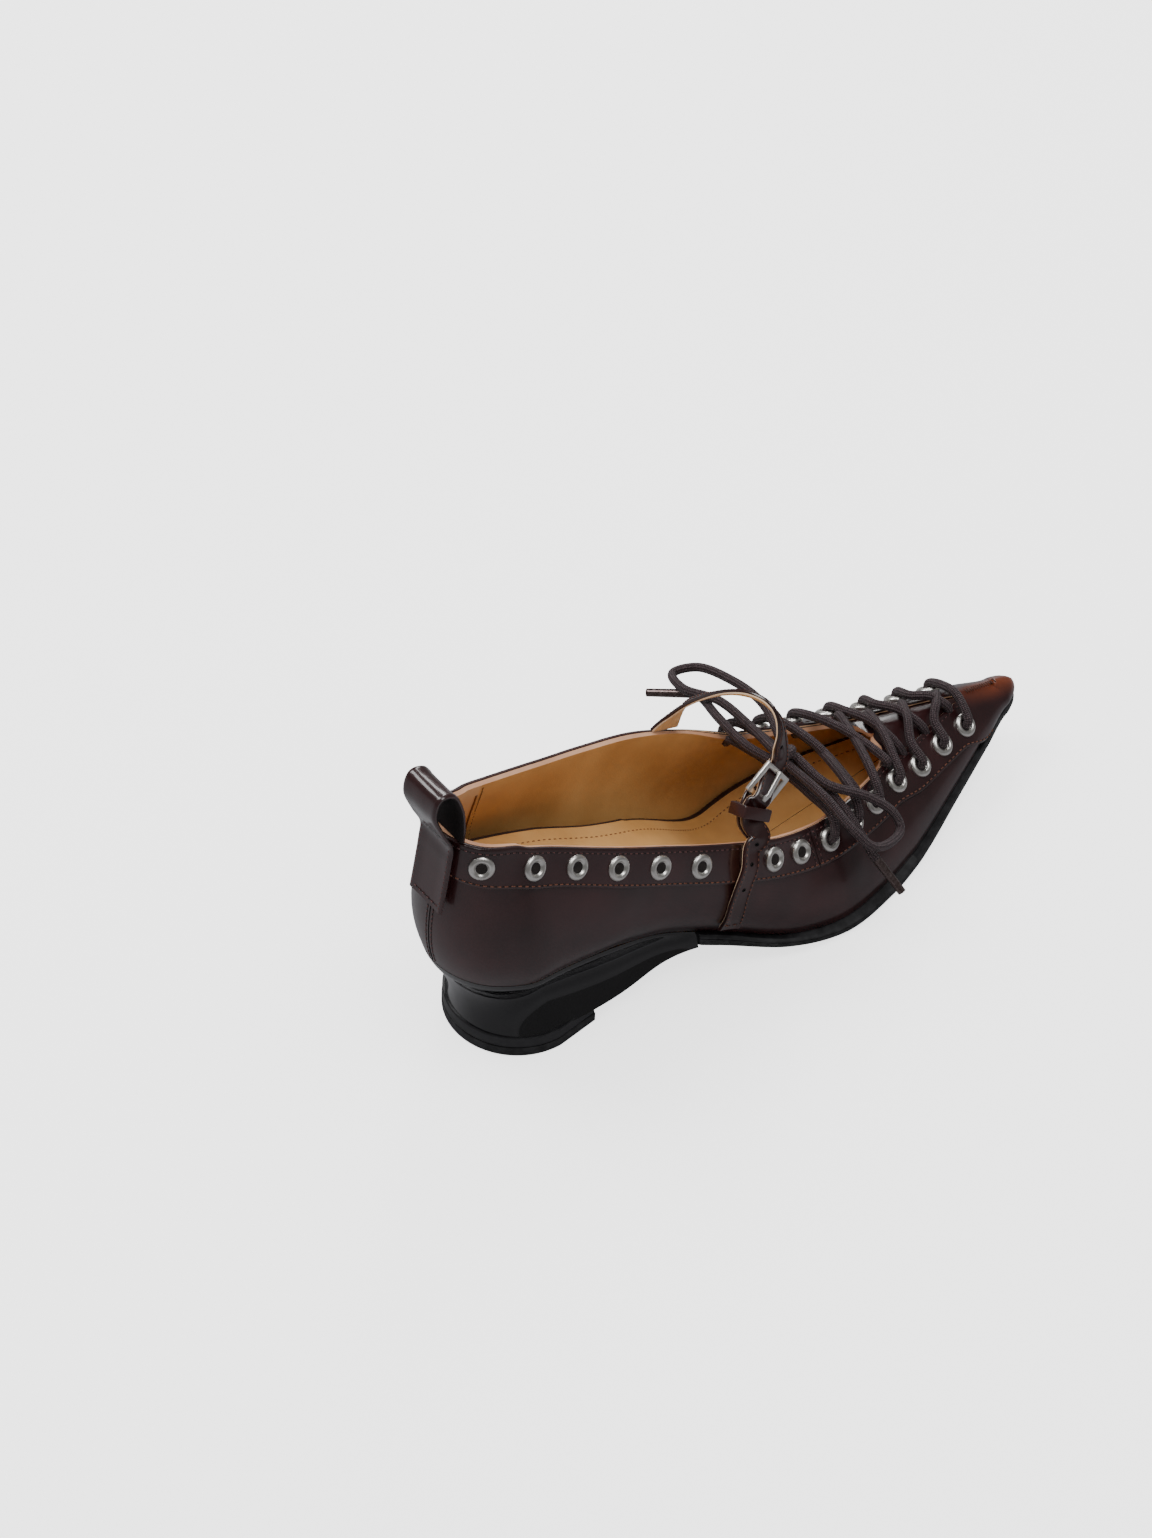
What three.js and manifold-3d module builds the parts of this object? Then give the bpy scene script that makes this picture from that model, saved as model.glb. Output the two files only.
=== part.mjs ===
// A pointed lace-up heel with a buckled strap, right shoe, in millimetres.
// X runs to the toe, Y to the inner side of the foot and Z up. The origin is on the floor,
// under the middle of the round base of the heel.
import * as THREE from "three";
import { mergeVertices } from "three/addons/utils/BufferGeometryUtils.js";
import Module from "manifold-3d";

const wasm = await Module();
wasm.setup();

// Main sizes of the last
const SHOE_LENGTH = 276; // back of the heel cup to the tip of the toe
const BACK_OVERHANG = 38; // heel cup behind the middle of the heel base
const BALL_WIDTH = 86; // widest breadth of the upper
const BACK_HEIGHT = 63; // wall of the heel cup, from its seat to the collar
const SEAT_HEIGHT = 44; // seat of the heel cup above the floor
const TOE_SPRING = 20; // rise of the toe above the ball
const SOLE_THICKNESS = 5; // forepart of the outsole, from floor to upper

// Walls and clearances
const WALL = 1.8; // upper with its lining
const BAND_THICKNESS = 1.2; // eyelet band and facing
const BAND_WIDTH = 16; // eyelet band below the collar edge
const FIT_GAP = 0.3; // between pieces that touch
const SKIN_GAP = 0.35; // between curved layers
const INSOLE_THICKNESS = 2.5;

// Throat and facing
const THROAT_END = 200; // back of the heel cup to where the throat starts to close
const FACING_MEET = 250; // back of the heel cup to where both facings meet
const FACING_START = 149; // back of the heel cup to the seam between band and facing
const THROAT_HALF = 12.5; // half the throat where it starts to close
const TOE_SWEEP_START = 238; // the facing's lower edge leaves the eyelet row
const TOE_SWEEP_END = 259; // and reaches the sole

// Sole and heel
const WELT = 2.2; // sole edge beyond the upper
const BALL_FLARE = 1.9; // more of it beside the ball
const SOLE_BACK = 100; // back of the heel cup to the rear end of the outsole
const HEEL_BASE_RADIUS = 26; // round back of the heel base
const HEEL_BREAST = 17; // front face of the heel base ahead of the origin
const BREAST_TAPER = 2.2; // each side of the base draws in towards its front face
const HEEL_RIM = 8.5; // height of the heel base's upright rim
const TOP_LIFT = 4; // rubber wearing piece under the heel
const ARCH_CLEARANCE = 14.5; // floor to the underside of the waist at its highest
const FLANK_SCOOP = 0.34; // how far the heel's sides draw in, as a share of its half width

// Eyelets
const EYELET_OUTER = 9.3;
const EYELET_HOLE = 4.7;
const EYELET_BARREL = 5.7;
const EYELET_RISE = 0.9;
const EYELET_SEAT = { collar: 0, front: 0.5, lace: 0.3 }; // stands clear of the bent band
const EYELET_SIDES = 8;
const COLLAR_FIRST = 10.5; // back of the heel cup to the first eyelet
const COLLAR_PITCH = 19.1; // along the band
const COLLAR_COUNT = 6;
const FRONT_FIRST = 128;
const FRONT_PITCH = 14.4;
const FRONT_COUNT = 2;
const LACE_FIRST = 157;
const LACE_PITCH = 14.8;
const LACE_COUNT = 7;

// Strap, tab, keeper and buckle
const STRAP_WIDTH = 7.8;
const STRAP_THICKNESS = 1.9;
const STRAP_FROM_BACK = 126; // middle of the strap's root on the inner side
const STRAP_ARCH = 42; // height of the arch above the root
const STRAP_FLARE = 2.5; // root width as a multiple of the strap's
const TAB_FROM_BACK = 120; // where the tab crosses the collar edge on the outer side
const TAB_THICKNESS = 1.4;
const TAB_REACH = 9; // sewn end of the tab below the collar edge
const TAIL_REACH = 39; // free end of the strap below the collar edge
const TAIL_SLANT = 0.46; // rows that the strap's end runs back on its way down
const KEEPER_WIDTH = 4.6;
const KEEPER_THICKNESS = 1.2;
const BUCKLE_LENGTH = 13;
const BUCKLE_BAR = 1.9;
const BUCKLE_THICKNESS = 1.8;
const BUCKLE_FROM_RIM = new THREE.Vector3(11, 5, 19); // middle of the buckle from the tab's edge
const BUCKLE_DOWN = new THREE.Vector3(-0.838, -0.089, -0.539); // way down the strap through it
const BUCKLE_OUT = new THREE.Vector3(-0.075, -0.958, 0.275);
const KEEPER_DOWN = new THREE.Vector3(-0.55, -0.35, -0.76);
const PRONG_WIDTH = 1.8;
// Arch of the strap from its root to the buckle: shares of the way across and of the way ahead,
// height as a share of the arch, and the direction that its outer face looks in.
const ARCH = [
  { across: 0.04, ahead: 0.28, rise: 0.18, faceX: -0.19, faceY: 0.93, faceZ: 0.31 },
  { across: 0.17, ahead: 0.4, rise: 0.39, faceX: -0.05, faceY: 0.80, faceZ: 0.59 },
  { across: 0.39, ahead: 0.5, rise: 0.65, faceX: 0.22, faceY: 0.70, faceZ: 0.68 },
  { across: 0.6, ahead: 0.58, rise: 0.84, faceX: 0.51, faceY: 0.50, faceZ: 0.71 },
  { across: 0.8, ahead: 0.66, rise: 0.95, faceX: 0.75, faceY: 0.20, faceZ: 0.63 },
  { across: 0.94, ahead: 0.73, rise: 0.95, faceX: 0.88, faceY: -0.15, faceZ: 0.45 },
  { across: 1.01, ahead: 0.8, rise: 0.84, faceX: 0.74, faceY: -0.63, faceZ: 0.25 },
  { across: 1.02, ahead: 0.89, rise: 0.6, faceX: 0.30, faceY: -0.93, faceZ: 0.23 },
];

// Pull loop
const LOOP_WIDTH = 18;
const LOOP_THICKNESS = 1.6;
const LOOP_RISE = 26; // above the collar edge
const LOOP_LEAN = 7; // how far it leans out behind
const LOOP_REACH = 30; // sewn end below the collar edge

// Laces
const LACE = 3.5;
const LACE_SIDES = 8;
const AGLET_LENGTH = 17;
const AGLET = 3.2;
const KNOT = new THREE.Vector3(121, -1, 55); // middle of the bow's knot
const KNOT_SIZE = new THREE.Vector3(10, 9, 8.5);
// Loops and ends of the bow, from the knot: ahead to the toe, to the inner side, and up.
const FAR_LOOP = [
  { ahead: 2.3, inner: 3, up: 0.9 },
  { ahead: 9, inner: 24, up: 3 },
  { ahead: 8.5, inner: 42, up: 1.5 },
  { ahead: 4, inner: 56, up: -0.5 },
  { ahead: -4.5, inner: 60, up: -2 },
  { ahead: -7.5, inner: 50, up: -0.5 },
  { ahead: -2, inner: 36, up: 1.2 },
  { ahead: -1, inner: 20, up: 1 },
  { ahead: -2, inner: 3, up: 1 },
];
const NEAR_LOOP = [
  { ahead: 2.6, inner: -2.5, up: 0.7 },
  { ahead: 6, inner: -17, up: -4 },
  { ahead: 18, inner: -27, up: -9.5 },
  { ahead: 25, inner: -34, up: -16 },
  { ahead: 25.5, inner: -38.5, up: -21 },
  { ahead: 16, inner: -43, up: -19.5 },
  { ahead: 7.5, inner: -43, up: -16 },
  { ahead: 2, inner: -36, up: -8.5 },
  { ahead: 0, inner: -24, up: -2.5 },
  { ahead: -1.7, inner: -3, up: -0.3 },
];
const FAR_END = [
  { ahead: -3.2, inner: 1.8, up: -2.5 },
  { ahead: -6.5, inner: 14, up: -2 },
  { ahead: -6, inner: 31, up: -1.5 },
  { ahead: -2, inner: 46, up: -5 },
  { ahead: -5, inner: 54, up: -7.5 },
  { ahead: -12.7, inner: 64.5, up: -11 },
];
const NEAR_END = [
  { ahead: 2.8, inner: -2, up: -3 },
  { ahead: 6.5, inner: -13, up: -6.8 },
  { ahead: 8.5, inner: -26, up: -12 },
  { ahead: 9.5, inner: -37, up: -20 },
  { ahead: 11, inner: -45.5, up: -26.5 },
  { ahead: 14, inner: -54.5, up: -34.5 },
];

const LATERAL = -1;
const MEDIAL = 1;

const leather = (color, roughness = 0.32) => new THREE.MeshStandardMaterial({ color, roughness, metalness: 0 });
const UPPER_LEATHER = leather(0x3a1418);
const BAND_LEATHER = leather(0x2e1014);
const STRAP_LEATHER = leather(0x35110f);
const LINING = leather(0xc98f4a, 0.6);
const NICKEL = new THREE.MeshStandardMaterial({ color: 0xd9d4cc, roughness: 0.22, metalness: 1 });
const RUBBER = new THREE.MeshStandardMaterial({ color: 0x141416, roughness: 0.6, metalness: 0 });
const GLOSS_HEEL = new THREE.MeshStandardMaterial({ color: 0x050505, roughness: 0.06, metalness: 0 });
const CORD = new THREE.MeshStandardMaterial({ color: 0x3b2328, roughness: 0.7, metalness: 0 });

const shoe = new THREE.Group();

// Adds a named piece to the shoe from a solid or a geometry.
function add(name, body, material) {
  const geometry = body.isBufferGeometry ? body : geometryOf(body);
  const mesh = new THREE.Mesh(geometry, material);
  mesh.name = name;
  shoe.add(mesh);
  return mesh;
}

// A closed geometry as a solid that can be cut and joined.
function solidOf(geometry) {
  const bare = (geometry.index ? geometry.toNonIndexed() : geometry).clone();
  bare.deleteAttribute("normal");
  bare.deleteAttribute("uv");
  const merged = mergeVertices(bare, 1e-3);
  const corners = merged.index.array;
  const kept = [];
  for (let i = 0; i < corners.length; i += 3) {
    const [a, b, c] = [corners[i], corners[i + 1], corners[i + 2]];
    if (a !== b && b !== c && c !== a) kept.push(a, b, c);
  }
  const vertProperties = new Float32Array(merged.attributes.position.array);
  return new wasm.Manifold(new wasm.Mesh({ numProp: 3, vertProperties, triVerts: new Uint32Array(kept) }));
}

function geometryOf(solid) {
  const { vertProperties, triVerts } = solid.getMesh();
  const geometry = new THREE.BufferGeometry();
  geometry.setAttribute("position", new THREE.BufferAttribute(new Float32Array(vertProperties), 3));
  geometry.setIndex(new THREE.BufferAttribute(new Uint32Array(triVerts), 1));
  geometry.computeVertexNormals();
  return geometry;
}

// A smooth curve through the values of one column, at a fractional row.
function column(table, name, row) {
  const last = table.length - 1;
  const i = Math.min(Math.max(Math.floor(row), 0), last - 1);
  const f = row - i;
  const at = (k) => table[Math.min(Math.max(k, 0), last)][name];
  const [a, b, c, d] = [at(i - 1), at(i), at(i + 1), at(i + 2)];
  const bend = 3 * (b - c) + d - a;
  return b + 0.5 * f * (c - a + f * (2 * a - 5 * b + 4 * c - d + f * bend));
}

// Rows round one half of the last, from the back seam to the tip of the toe.
// along: where the row's centre lies, as a share of the length. turn: degrees ahead of straight
// sideways. foot, belly, chest, rim: half widths as shares of the ball width. The up columns are
// heights above the feather line, as shares of the back height. ahead: the rim's lead on the row,
// as a share of the length.
function rowsOf(values) {
  const names = ["along", "turn", "foot", "belly", "bellyUp", "chest", "chestUp", "rim", "rimUp", "ahead"];
  return values.map((row) => Object.fromEntries(names.map((name, k) => [name, row[k]])));
}
const OUTER_HALF = rowsOf([
  [0.116, -90, 0.362, 0.388, 0.2, 0.366, 0.58, 0.322, 1.0, 0],
  [0.116, -60, 0.356, 0.386, 0.21, 0.354, 0.58, 0.282, 0.985, 0],
  [0.116, -30, 0.342, 0.379, 0.22, 0.327, 0.56, 0.216, 0.94, 0],
  [0.116, 0, 0.322, 0.37, 0.25, 0.312, 0.55, 0.2, 0.88, 0],
  [0.215, 0, 0.295, 0.365, 0.27, 0.318, 0.53, 0.242, 0.765, 0],
  [0.305, 0, 0.27, 0.362, 0.28, 0.342, 0.53, 0.28, 0.735, 0],
  [0.395, 0, 0.33, 0.405, 0.23, 0.388, 0.48, 0.312, 0.71, 0],
  [0.485, 0, 0.455, 0.475, 0.15, 0.42, 0.39, 0.322, 0.655, 0],
  [0.575, 0, 0.495, 0.5, 0.09, 0.412, 0.36, 0.288, 0.59, 0],
  [0.66, 0, 0.448, 0.453, 0.075, 0.352, 0.33, 0.212, 0.53, 0],
  [0.715, 0, 0.4, 0.404, 0.075, 0.3, 0.315, 0.15, 0.495, 0],
  [0.745, 0, 0.366, 0.37, 0.075, 0.262, 0.305, 0.085, 0.487, -0.01],
  [0.775, 0, 0.328, 0.332, 0.07, 0.222, 0.29, 0, 0.476, -0.032],
  [0.82, 0, 0.268, 0.271, 0.065, 0.168, 0.26, 0, 0.41, -0.02],
  [0.87, 0, 0.202, 0.204, 0.06, 0.122, 0.21, 0, 0.32, -0.008],
  [0.92, 0, 0.134, 0.136, 0.05, 0.084, 0.14, 0, 0.21, 0],
  [0.965, 0, 0.07, 0.073, 0.035, 0.048, 0.078, 0, 0.11, 0],
  [0.965, 45, 0.074, 0.078, 0.03, 0.052, 0.072, 0, 0.11, 0],
  [0.965, 90, 0.108, 0.112, 0.03, 0.074, 0.068, 0, 0.11, 0],
]);
const INNER_HALF = rowsOf([
  [0.116, -90, 0.362, 0.388, 0.2, 0.366, 0.58, 0.322, 1.0, 0],
  [0.116, -60, 0.356, 0.386, 0.21, 0.354, 0.58, 0.282, 0.985, 0],
  [0.116, -30, 0.342, 0.379, 0.22, 0.327, 0.56, 0.216, 0.94, 0],
  [0.116, 0, 0.315, 0.368, 0.25, 0.314, 0.56, 0.22, 0.9, 0],
  [0.215, 0, 0.27, 0.352, 0.29, 0.325, 0.57, 0.27, 0.84, 0],
  [0.305, 0, 0.225, 0.33, 0.31, 0.342, 0.58, 0.31, 0.85, 0],
  [0.395, 0, 0.245, 0.352, 0.29, 0.365, 0.58, 0.325, 0.88, 0],
  [0.485, 0, 0.33, 0.4, 0.19, 0.375, 0.48, 0.33, 0.8, 0],
  [0.575, 0, 0.41, 0.435, 0.12, 0.392, 0.42, 0.29, 0.64, 0],
  [0.66, 0, 0.42, 0.432, 0.09, 0.368, 0.38, 0.214, 0.56, 0],
  [0.715, 0, 0.39, 0.398, 0.085, 0.322, 0.36, 0.152, 0.51, 0],
  [0.745, 0, 0.36, 0.366, 0.08, 0.288, 0.345, 0.085, 0.487, -0.01],
  [0.775, 0, 0.325, 0.33, 0.08, 0.25, 0.325, 0, 0.476, -0.032],
  [0.82, 0, 0.268, 0.272, 0.075, 0.192, 0.285, 0, 0.41, -0.02],
  [0.87, 0, 0.202, 0.205, 0.065, 0.14, 0.225, 0, 0.32, -0.008],
  [0.92, 0, 0.134, 0.137, 0.05, 0.094, 0.155, 0, 0.21, 0],
  [0.965, 0, 0.07, 0.073, 0.035, 0.048, 0.078, 0, 0.11, 0],
  [0.965, 45, 0.074, 0.078, 0.03, 0.052, 0.072, 0, 0.11, 0],
  [0.965, 90, 0.108, 0.112, 0.03, 0.074, 0.068, 0, 0.11, 0],
]);
const LAST_ROW = OUTER_HALF.length - 1;
const TOE_ROW = LAST_ROW - 2; // the rows after it turn round the tip

// Height of the feather line along the shoe. along: share of the length. heel: share of the rise
// to the seat. spring: share of the toe spring.
const FEATHER = [
  { along: 0, heel: 1.03, spring: 0 },
  { along: 0.11, heel: 0.98, spring: 0 },
  { along: 0.21, heel: 0.81, spring: 0 },
  { along: 0.3, heel: 0.56, spring: 0 },
  { along: 0.39, heel: 0.3, spring: 0 },
  { along: 0.48, heel: 0.1, spring: 0 },
  { along: 0.57, heel: 0, spring: 0 },
  { along: 0.66, heel: 0, spring: 0 },
  { along: 0.74, heel: 0, spring: 0.13 },
  { along: 0.83, heel: 0, spring: 0.4 },
  { along: 0.92, heel: 0, spring: 0.72 },
  { along: 1, heel: 0, spring: 1 },
];
const atX = (share) => share * SHOE_LENGTH - BACK_OVERHANG;
const fromBack = (distance) => distance - BACK_OVERHANG;

function featherRow(x) {
  const share = (x + BACK_OVERHANG) / SHOE_LENGTH;
  const i = FEATHER.findIndex((row) => row.along >= share);
  if (i < 0) return FEATHER.length - 1;
  if (i === 0) return 0;
  return i - 1 + (share - FEATHER[i - 1].along) / (FEATHER[i].along - FEATHER[i - 1].along);
}
function featherHeight(x) {
  const row = featherRow(x);
  const heel = Math.max(column(FEATHER, "heel", row), 0);
  const spring = Math.max(column(FEATHER, "spring", row), 0);
  return SOLE_THICKNESS + heel * (SEAT_HEIGHT - SOLE_THICKNESS) + spring * TOE_SPRING;
}

const halfOf = (side) => (side === LATERAL ? OUTER_HALF : INNER_HALF);

// A point of the last's skin: row round the shoe, t from the feather line, 0, to the rim, 1.
function lastPoint(side, row, t) {
  const table = halfOf(side);
  const get = (name) => column(table, name, row);
  const turn = (get("turn") * Math.PI) / 180;
  const centre = atX(get("along"));
  const outs = [get("foot"), get("belly"), get("chest"), Math.max(get("rim"), 0)];
  const ups = [0, get("bellyUp"), get("chestUp"), get("rimUp")];
  const knots = [0];
  for (let k = 1; k < 4; k++) {
    knots.push(knots[k - 1] + Math.hypot(outs[k] - outs[k - 1], ups[k] - ups[k - 1]));
  }
  const far = knots.map((knot) => knot / knots[3]);
  const weights = far.map((knot, k) =>
    far.reduce((product, other, n) => (n === k ? product : (product * (t - other)) / (knot - other)), 1),
  );
  const mix = (values) => values.reduce((sum, value, k) => sum + value * weights[k], 0);
  const out = mix(outs) * BALL_WIDTH;
  const base = featherHeight(centre + outs[0] * BALL_WIDTH * Math.sin(turn));
  const lead = get("ahead") * SHOE_LENGTH * t * t;
  return new THREE.Vector3(
    centre + out * Math.sin(turn) + lead,
    side * Math.abs(out * Math.cos(turn)) * (Math.abs(get("turn")) === 90 ? 0 : 1),
    base + mix(ups) * BACK_HEIGHT,
  );
}

// Outward normal of the last at a point of its skin.
function lastNormal(side, row, t) {
  const step = 0.02;
  const r0 = Math.max(row - step, 0);
  const r1 = Math.min(row + step, LAST_ROW);
  const t0 = Math.max(t - step, 0);
  const t1 = Math.min(t + step, 1);
  const alongRow = lastPoint(side, r1, t).sub(lastPoint(side, r0, t));
  const upWall = lastPoint(side, row, t1).sub(lastPoint(side, row, t0));
  const normal = alongRow.cross(upWall).multiplyScalar(-side);
  if (row === 0 || row === LAST_ROW) normal.y = 0;
  return normal.normalize();
}

const RIDGE_LIFT = 1.4;
const TIP_DIP = 1.3; // the upper's tip lies this much lower under the facing
// The skin lifted off the last. On the closed ridge both halves lift straight up and so meet.
const isRidge = (side, row, t) => t === 1 && row > 10 && column(halfOf(side), "rim", row) < 1e-4;
function skin(side, row, t, lift) {
  const point = lastPoint(side, row, t);
  const dip = row >= TOE_ROW && lift <= 0 ? TIP_DIP : 0;
  if (isRidge(side, row, t)) return point.setZ(point.z + RIDGE_LIFT * lift - dip);
  if (!lift) return point;
  const normal = lastNormal(side, row, t);
  if (t === 0) normal.setZ(0).normalize();
  return point.addScaledVector(normal, lift);
}

// A closed slab between two grids of the same size, grid[i][j]. Columns run up, so that the way
// from i to i + 1 and from j to j + 1 turns its outer face outwards.
function slab(outer, inner, { loop = false, shut = () => false } = {}) {
  const position = [];
  const face = (...corners) => {
    const [a, b, c, d] = corners;
    for (const p of [a, b, c, a, c, d]) position.push(p.x, p.y, p.z);
  };
  const count = outer.length;
  const top = outer[0].length - 1;
  const spans = loop ? count : count - 1;
  for (let i = 0; i < spans; i++) {
    const k = (i + 1) % count;
    for (let j = 0; j < top; j++) {
      face(outer[i][j], outer[k][j], outer[k][j + 1], outer[i][j + 1]);
      face(inner[k][j + 1], inner[k][j], inner[i][j], inner[i][j + 1]);
    }
    if (!shut(i, k)) face(outer[i][top], outer[k][top], inner[k][top], inner[i][top]);
    face(inner[i][0], inner[k][0], outer[k][0], outer[i][0]);
  }
  if (!loop) {
    const end = count - 1;
    for (let j = 0; j < top; j++) {
      face(inner[0][j], outer[0][j], outer[0][j + 1], inner[0][j + 1]);
      face(outer[end][j], inner[end][j], inner[end][j + 1], outer[end][j + 1]);
    }
  }
  const geometry = new THREE.BufferGeometry();
  geometry.setAttribute("position", new THREE.BufferAttribute(new Float32Array(position), 3));
  return solidOf(geometry);
}

// Stations along one half: the rows, with finer steps round the heel and the throat's end.
const stations = [];
for (let row = 0; row < LAST_ROW; row++) {
  const steps = row < 3 || row === 10 || row === 11 ? 3 : 2;
  for (let k = 0; k < steps; k++) stations.push(row + k / steps);
}
stations.push(LAST_ROW);

// Each half's own stations: the seam between band and facing replaces the one beside it.
const seamRow = (side, offset) => rowAt(side, fromBack(FACING_START) + offset, () => 1);
function stationsOf(side) {
  const seam = seamRow(side, 0);
  return [...stations.filter((row) => Math.abs(row - seam) > 0.16), seam].sort((a, b) => a - b);
}
// The whole way round: outer half to the tip of the toe, then back along the inner half.
const ring = [
  ...stationsOf(LATERAL).map((row) => ({ side: LATERAL, row })),
  ...stationsOf(MEDIAL).slice(1, -1).reverse().map((row) => ({ side: MEDIAL, row })),
];

const levels = (steps, low = 0, high = 1) =>
  Array.from({ length: steps + 1 }, (_, j) => low + ((high - low) * j) / steps);

// Length up the wall between two levels of one row.
function wallLength(side, row, low, high) {
  const steps = levels(16, low, high);
  const points = steps.map((t) => lastPoint(side, row, t));
  return points.slice(1).reduce((sum, p, k) => sum + p.distanceTo(points[k]), 0);
}
// The level that lies a given length below another one.
function levelBelow(side, row, high, length) {
  let [low, top] = [0, high];
  for (let k = 0; k < 20; k++) {
    const middle = (low + top) / 2;
    if (wallLength(side, row, middle, high) > length) low = middle;
    else top = middle;
  }
  return (low + top) / 2;
}

// The facing's inner edge: the throat's rim, and ahead of it a straight line to where both meet.
function edgeLevel(side, row) {
  const start = fromBack(THROAT_END);
  const meet = fromBack(FACING_MEET);
  const spare = (t) => {
    const p = lastPoint(side, row, t);
    return Math.abs(p.y) - (THROAT_HALF * (meet - p.x)) / (meet - start);
  };
  if (lastPoint(side, row, 1).x <= start - 4 || spare(1) >= 0) return 1;
  let [low, high] = [0.4, 1];
  for (let k = 0; k < 24; k++) {
    const middle = (low + high) / 2;
    if (spare(middle) > 0) low = middle;
    else high = middle;
  }
  return (low + high) / 2;
}
const smooth = (f) => {
  const c = Math.min(Math.max(f, 0), 1);
  return c * c * (3 - 2 * c);
};
// The band's lower edge, which sweeps down to the sole beside the toe.
function bandLevel(side, row) {
  const edge = edgeLevel(side, row);
  const level = levelBelow(side, row, edge, BAND_WIDTH);
  const x = lastPoint(side, row, level).x;
  const sweep = (x - fromBack(TOE_SWEEP_START)) / (TOE_SWEEP_END - TOE_SWEEP_START);
  return level * (1 - smooth(sweep));
}

// Levels of one station: below the band, across it, and from the facing's edge to the rim. The
// layers share them, so that they lie evenly on each other.
function wallLevels(side, row) {
  const band = bandLevel(side, row);
  const edge = edgeLevel(side, row);
  return [0, band / 3, (2 * band) / 3, band, (band + edge) / 2, edge, 1];
}
const overlayLevels = (side, row) => wallLevels(side, row).slice(3, 6);

// Row at which a line up the skin stands at a given x.
function rowAt(side, x, levelOf) {
  let [low, high] = [0, TOE_ROW];
  for (let k = 0; k < 30; k++) {
    const middle = (low + high) / 2;
    if (lastPoint(side, middle, levelOf(middle)).x < x) low = middle;
    else high = middle;
  }
  return (low + high) / 2;
}

// Row that lies a given length further along such a line.
function rowAlong(side, from, length, levelOf) {
  const step = 0.02;
  let [row, left] = [from, length];
  let here = lastPoint(side, row, levelOf(row));
  while (left > 0 && row < TOE_ROW) {
    const next = lastPoint(side, row + step, levelOf(row + step));
    const gone = next.distanceTo(here);
    if (gone >= left) return row + (step * left) / gone;
    [row, left, here] = [row + step, left - gone, next];
  }
  return row;
}

// Places of the eyelets: kind, side, point and normal on the band's outer face.
const bandLift = SKIN_GAP + BAND_THICKNESS;
const eyeletRows = [
  { kind: "collar", first: COLLAR_FIRST, pitch: COLLAR_PITCH, count: COLLAR_COUNT },
  { kind: "front", first: FRONT_FIRST, pitch: FRONT_PITCH, count: FRONT_COUNT },
  { kind: "lace", first: LACE_FIRST, pitch: LACE_PITCH, count: LACE_COUNT },
];
const sideName = { [LATERAL]: "outer", [MEDIAL]: "inner" };
// Middle of the band's outer face at a row, on the flat between two stations, and its normal.
function onBandAt(side, row, kind) {
  const rows = stationsOf(side);
  const next = rows.findIndex((station) => station > row);
  const [r0, r1] = [rows[next - 1], rows[next]];
  const share = (row - r0) / (r1 - r0);
  const point = (r, k) => skin(side, r, overlayLevels(side, r)[k], bandLift);
  const across = (k) => point(r0, k).lerp(point(r1, k), share);
  const alongRow = point(r1, 1).sub(point(r0, 1));
  const normal = alongRow.cross(across(2).sub(across(0))).multiplyScalar(-side).normalize();
  return { place: across(1).addScaledVector(normal, EYELET_SEAT[kind]), normal };
}
const eyelets = [];
for (const side of [LATERAL, MEDIAL]) {
  const middle = (row) => levelBelow(side, row, edgeLevel(side, row), BAND_WIDTH / 2);
  for (const { kind, first, pitch, count } of eyeletRows) {
    let row = rowAt(side, fromBack(first), middle);
    for (let k = 0; k < count; k++) {
      if (k > 0) row = rowAlong(side, row, pitch, middle);
      eyelets.push({
        name: `eyelet_${kind}_${sideName[side]}_${k + 1}`,
        kind,
        side,
        row,
        ...onBandAt(side, row, kind),
      });
    }
  }
}
const eyeletAt = (side, k) =>
  eyelets.find(({ name }) => name === `eyelet_lace_${sideName[side]}_${k}`);

// Turns a geometry whose axis is Z so that it stands on a point along a normal.
function stand(geometry, place, normal) {
  const turn = new THREE.Quaternion().setFromUnitVectors(new THREE.Vector3(0, 0, 1), normal);
  return geometry.applyQuaternion(turn).translate(place.x, place.y, place.z);
}
function pin(radius, below, above, { place, normal }, sides) {
  const rod = new THREE.CylinderGeometry(radius, radius, below + above, sides).rotateX(Math.PI / 2);
  return solidOf(stand(rod.translate(0, 0, (above - below) / 2), place, normal));
}

// Upper: one hollow wall, open along the collar, the throat and underneath
function makeUpper() {
  const grid = (lift) =>
    ring.map(({ side, row }) => wallLevels(side, row).map((t) => skin(side, row, t, lift)));
  const ridge = ({ side, row }) => isRidge(side, row, 1);
  const shut = (i, k) => ridge(ring[i]) && ridge(ring[k]);
  let body = slab(grid(0), grid(-WALL), { loop: true, shut });
  const hole = EYELET_BARREL / 2 + FIT_GAP;
  for (const eyelet of eyelets.filter(({ kind }) => kind === "lace")) {
    body = body.subtract(pin(hole, bandLift + WALL + 2, 2, eyelet, EYELET_SIDES));
  }
  return body;
}

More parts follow.
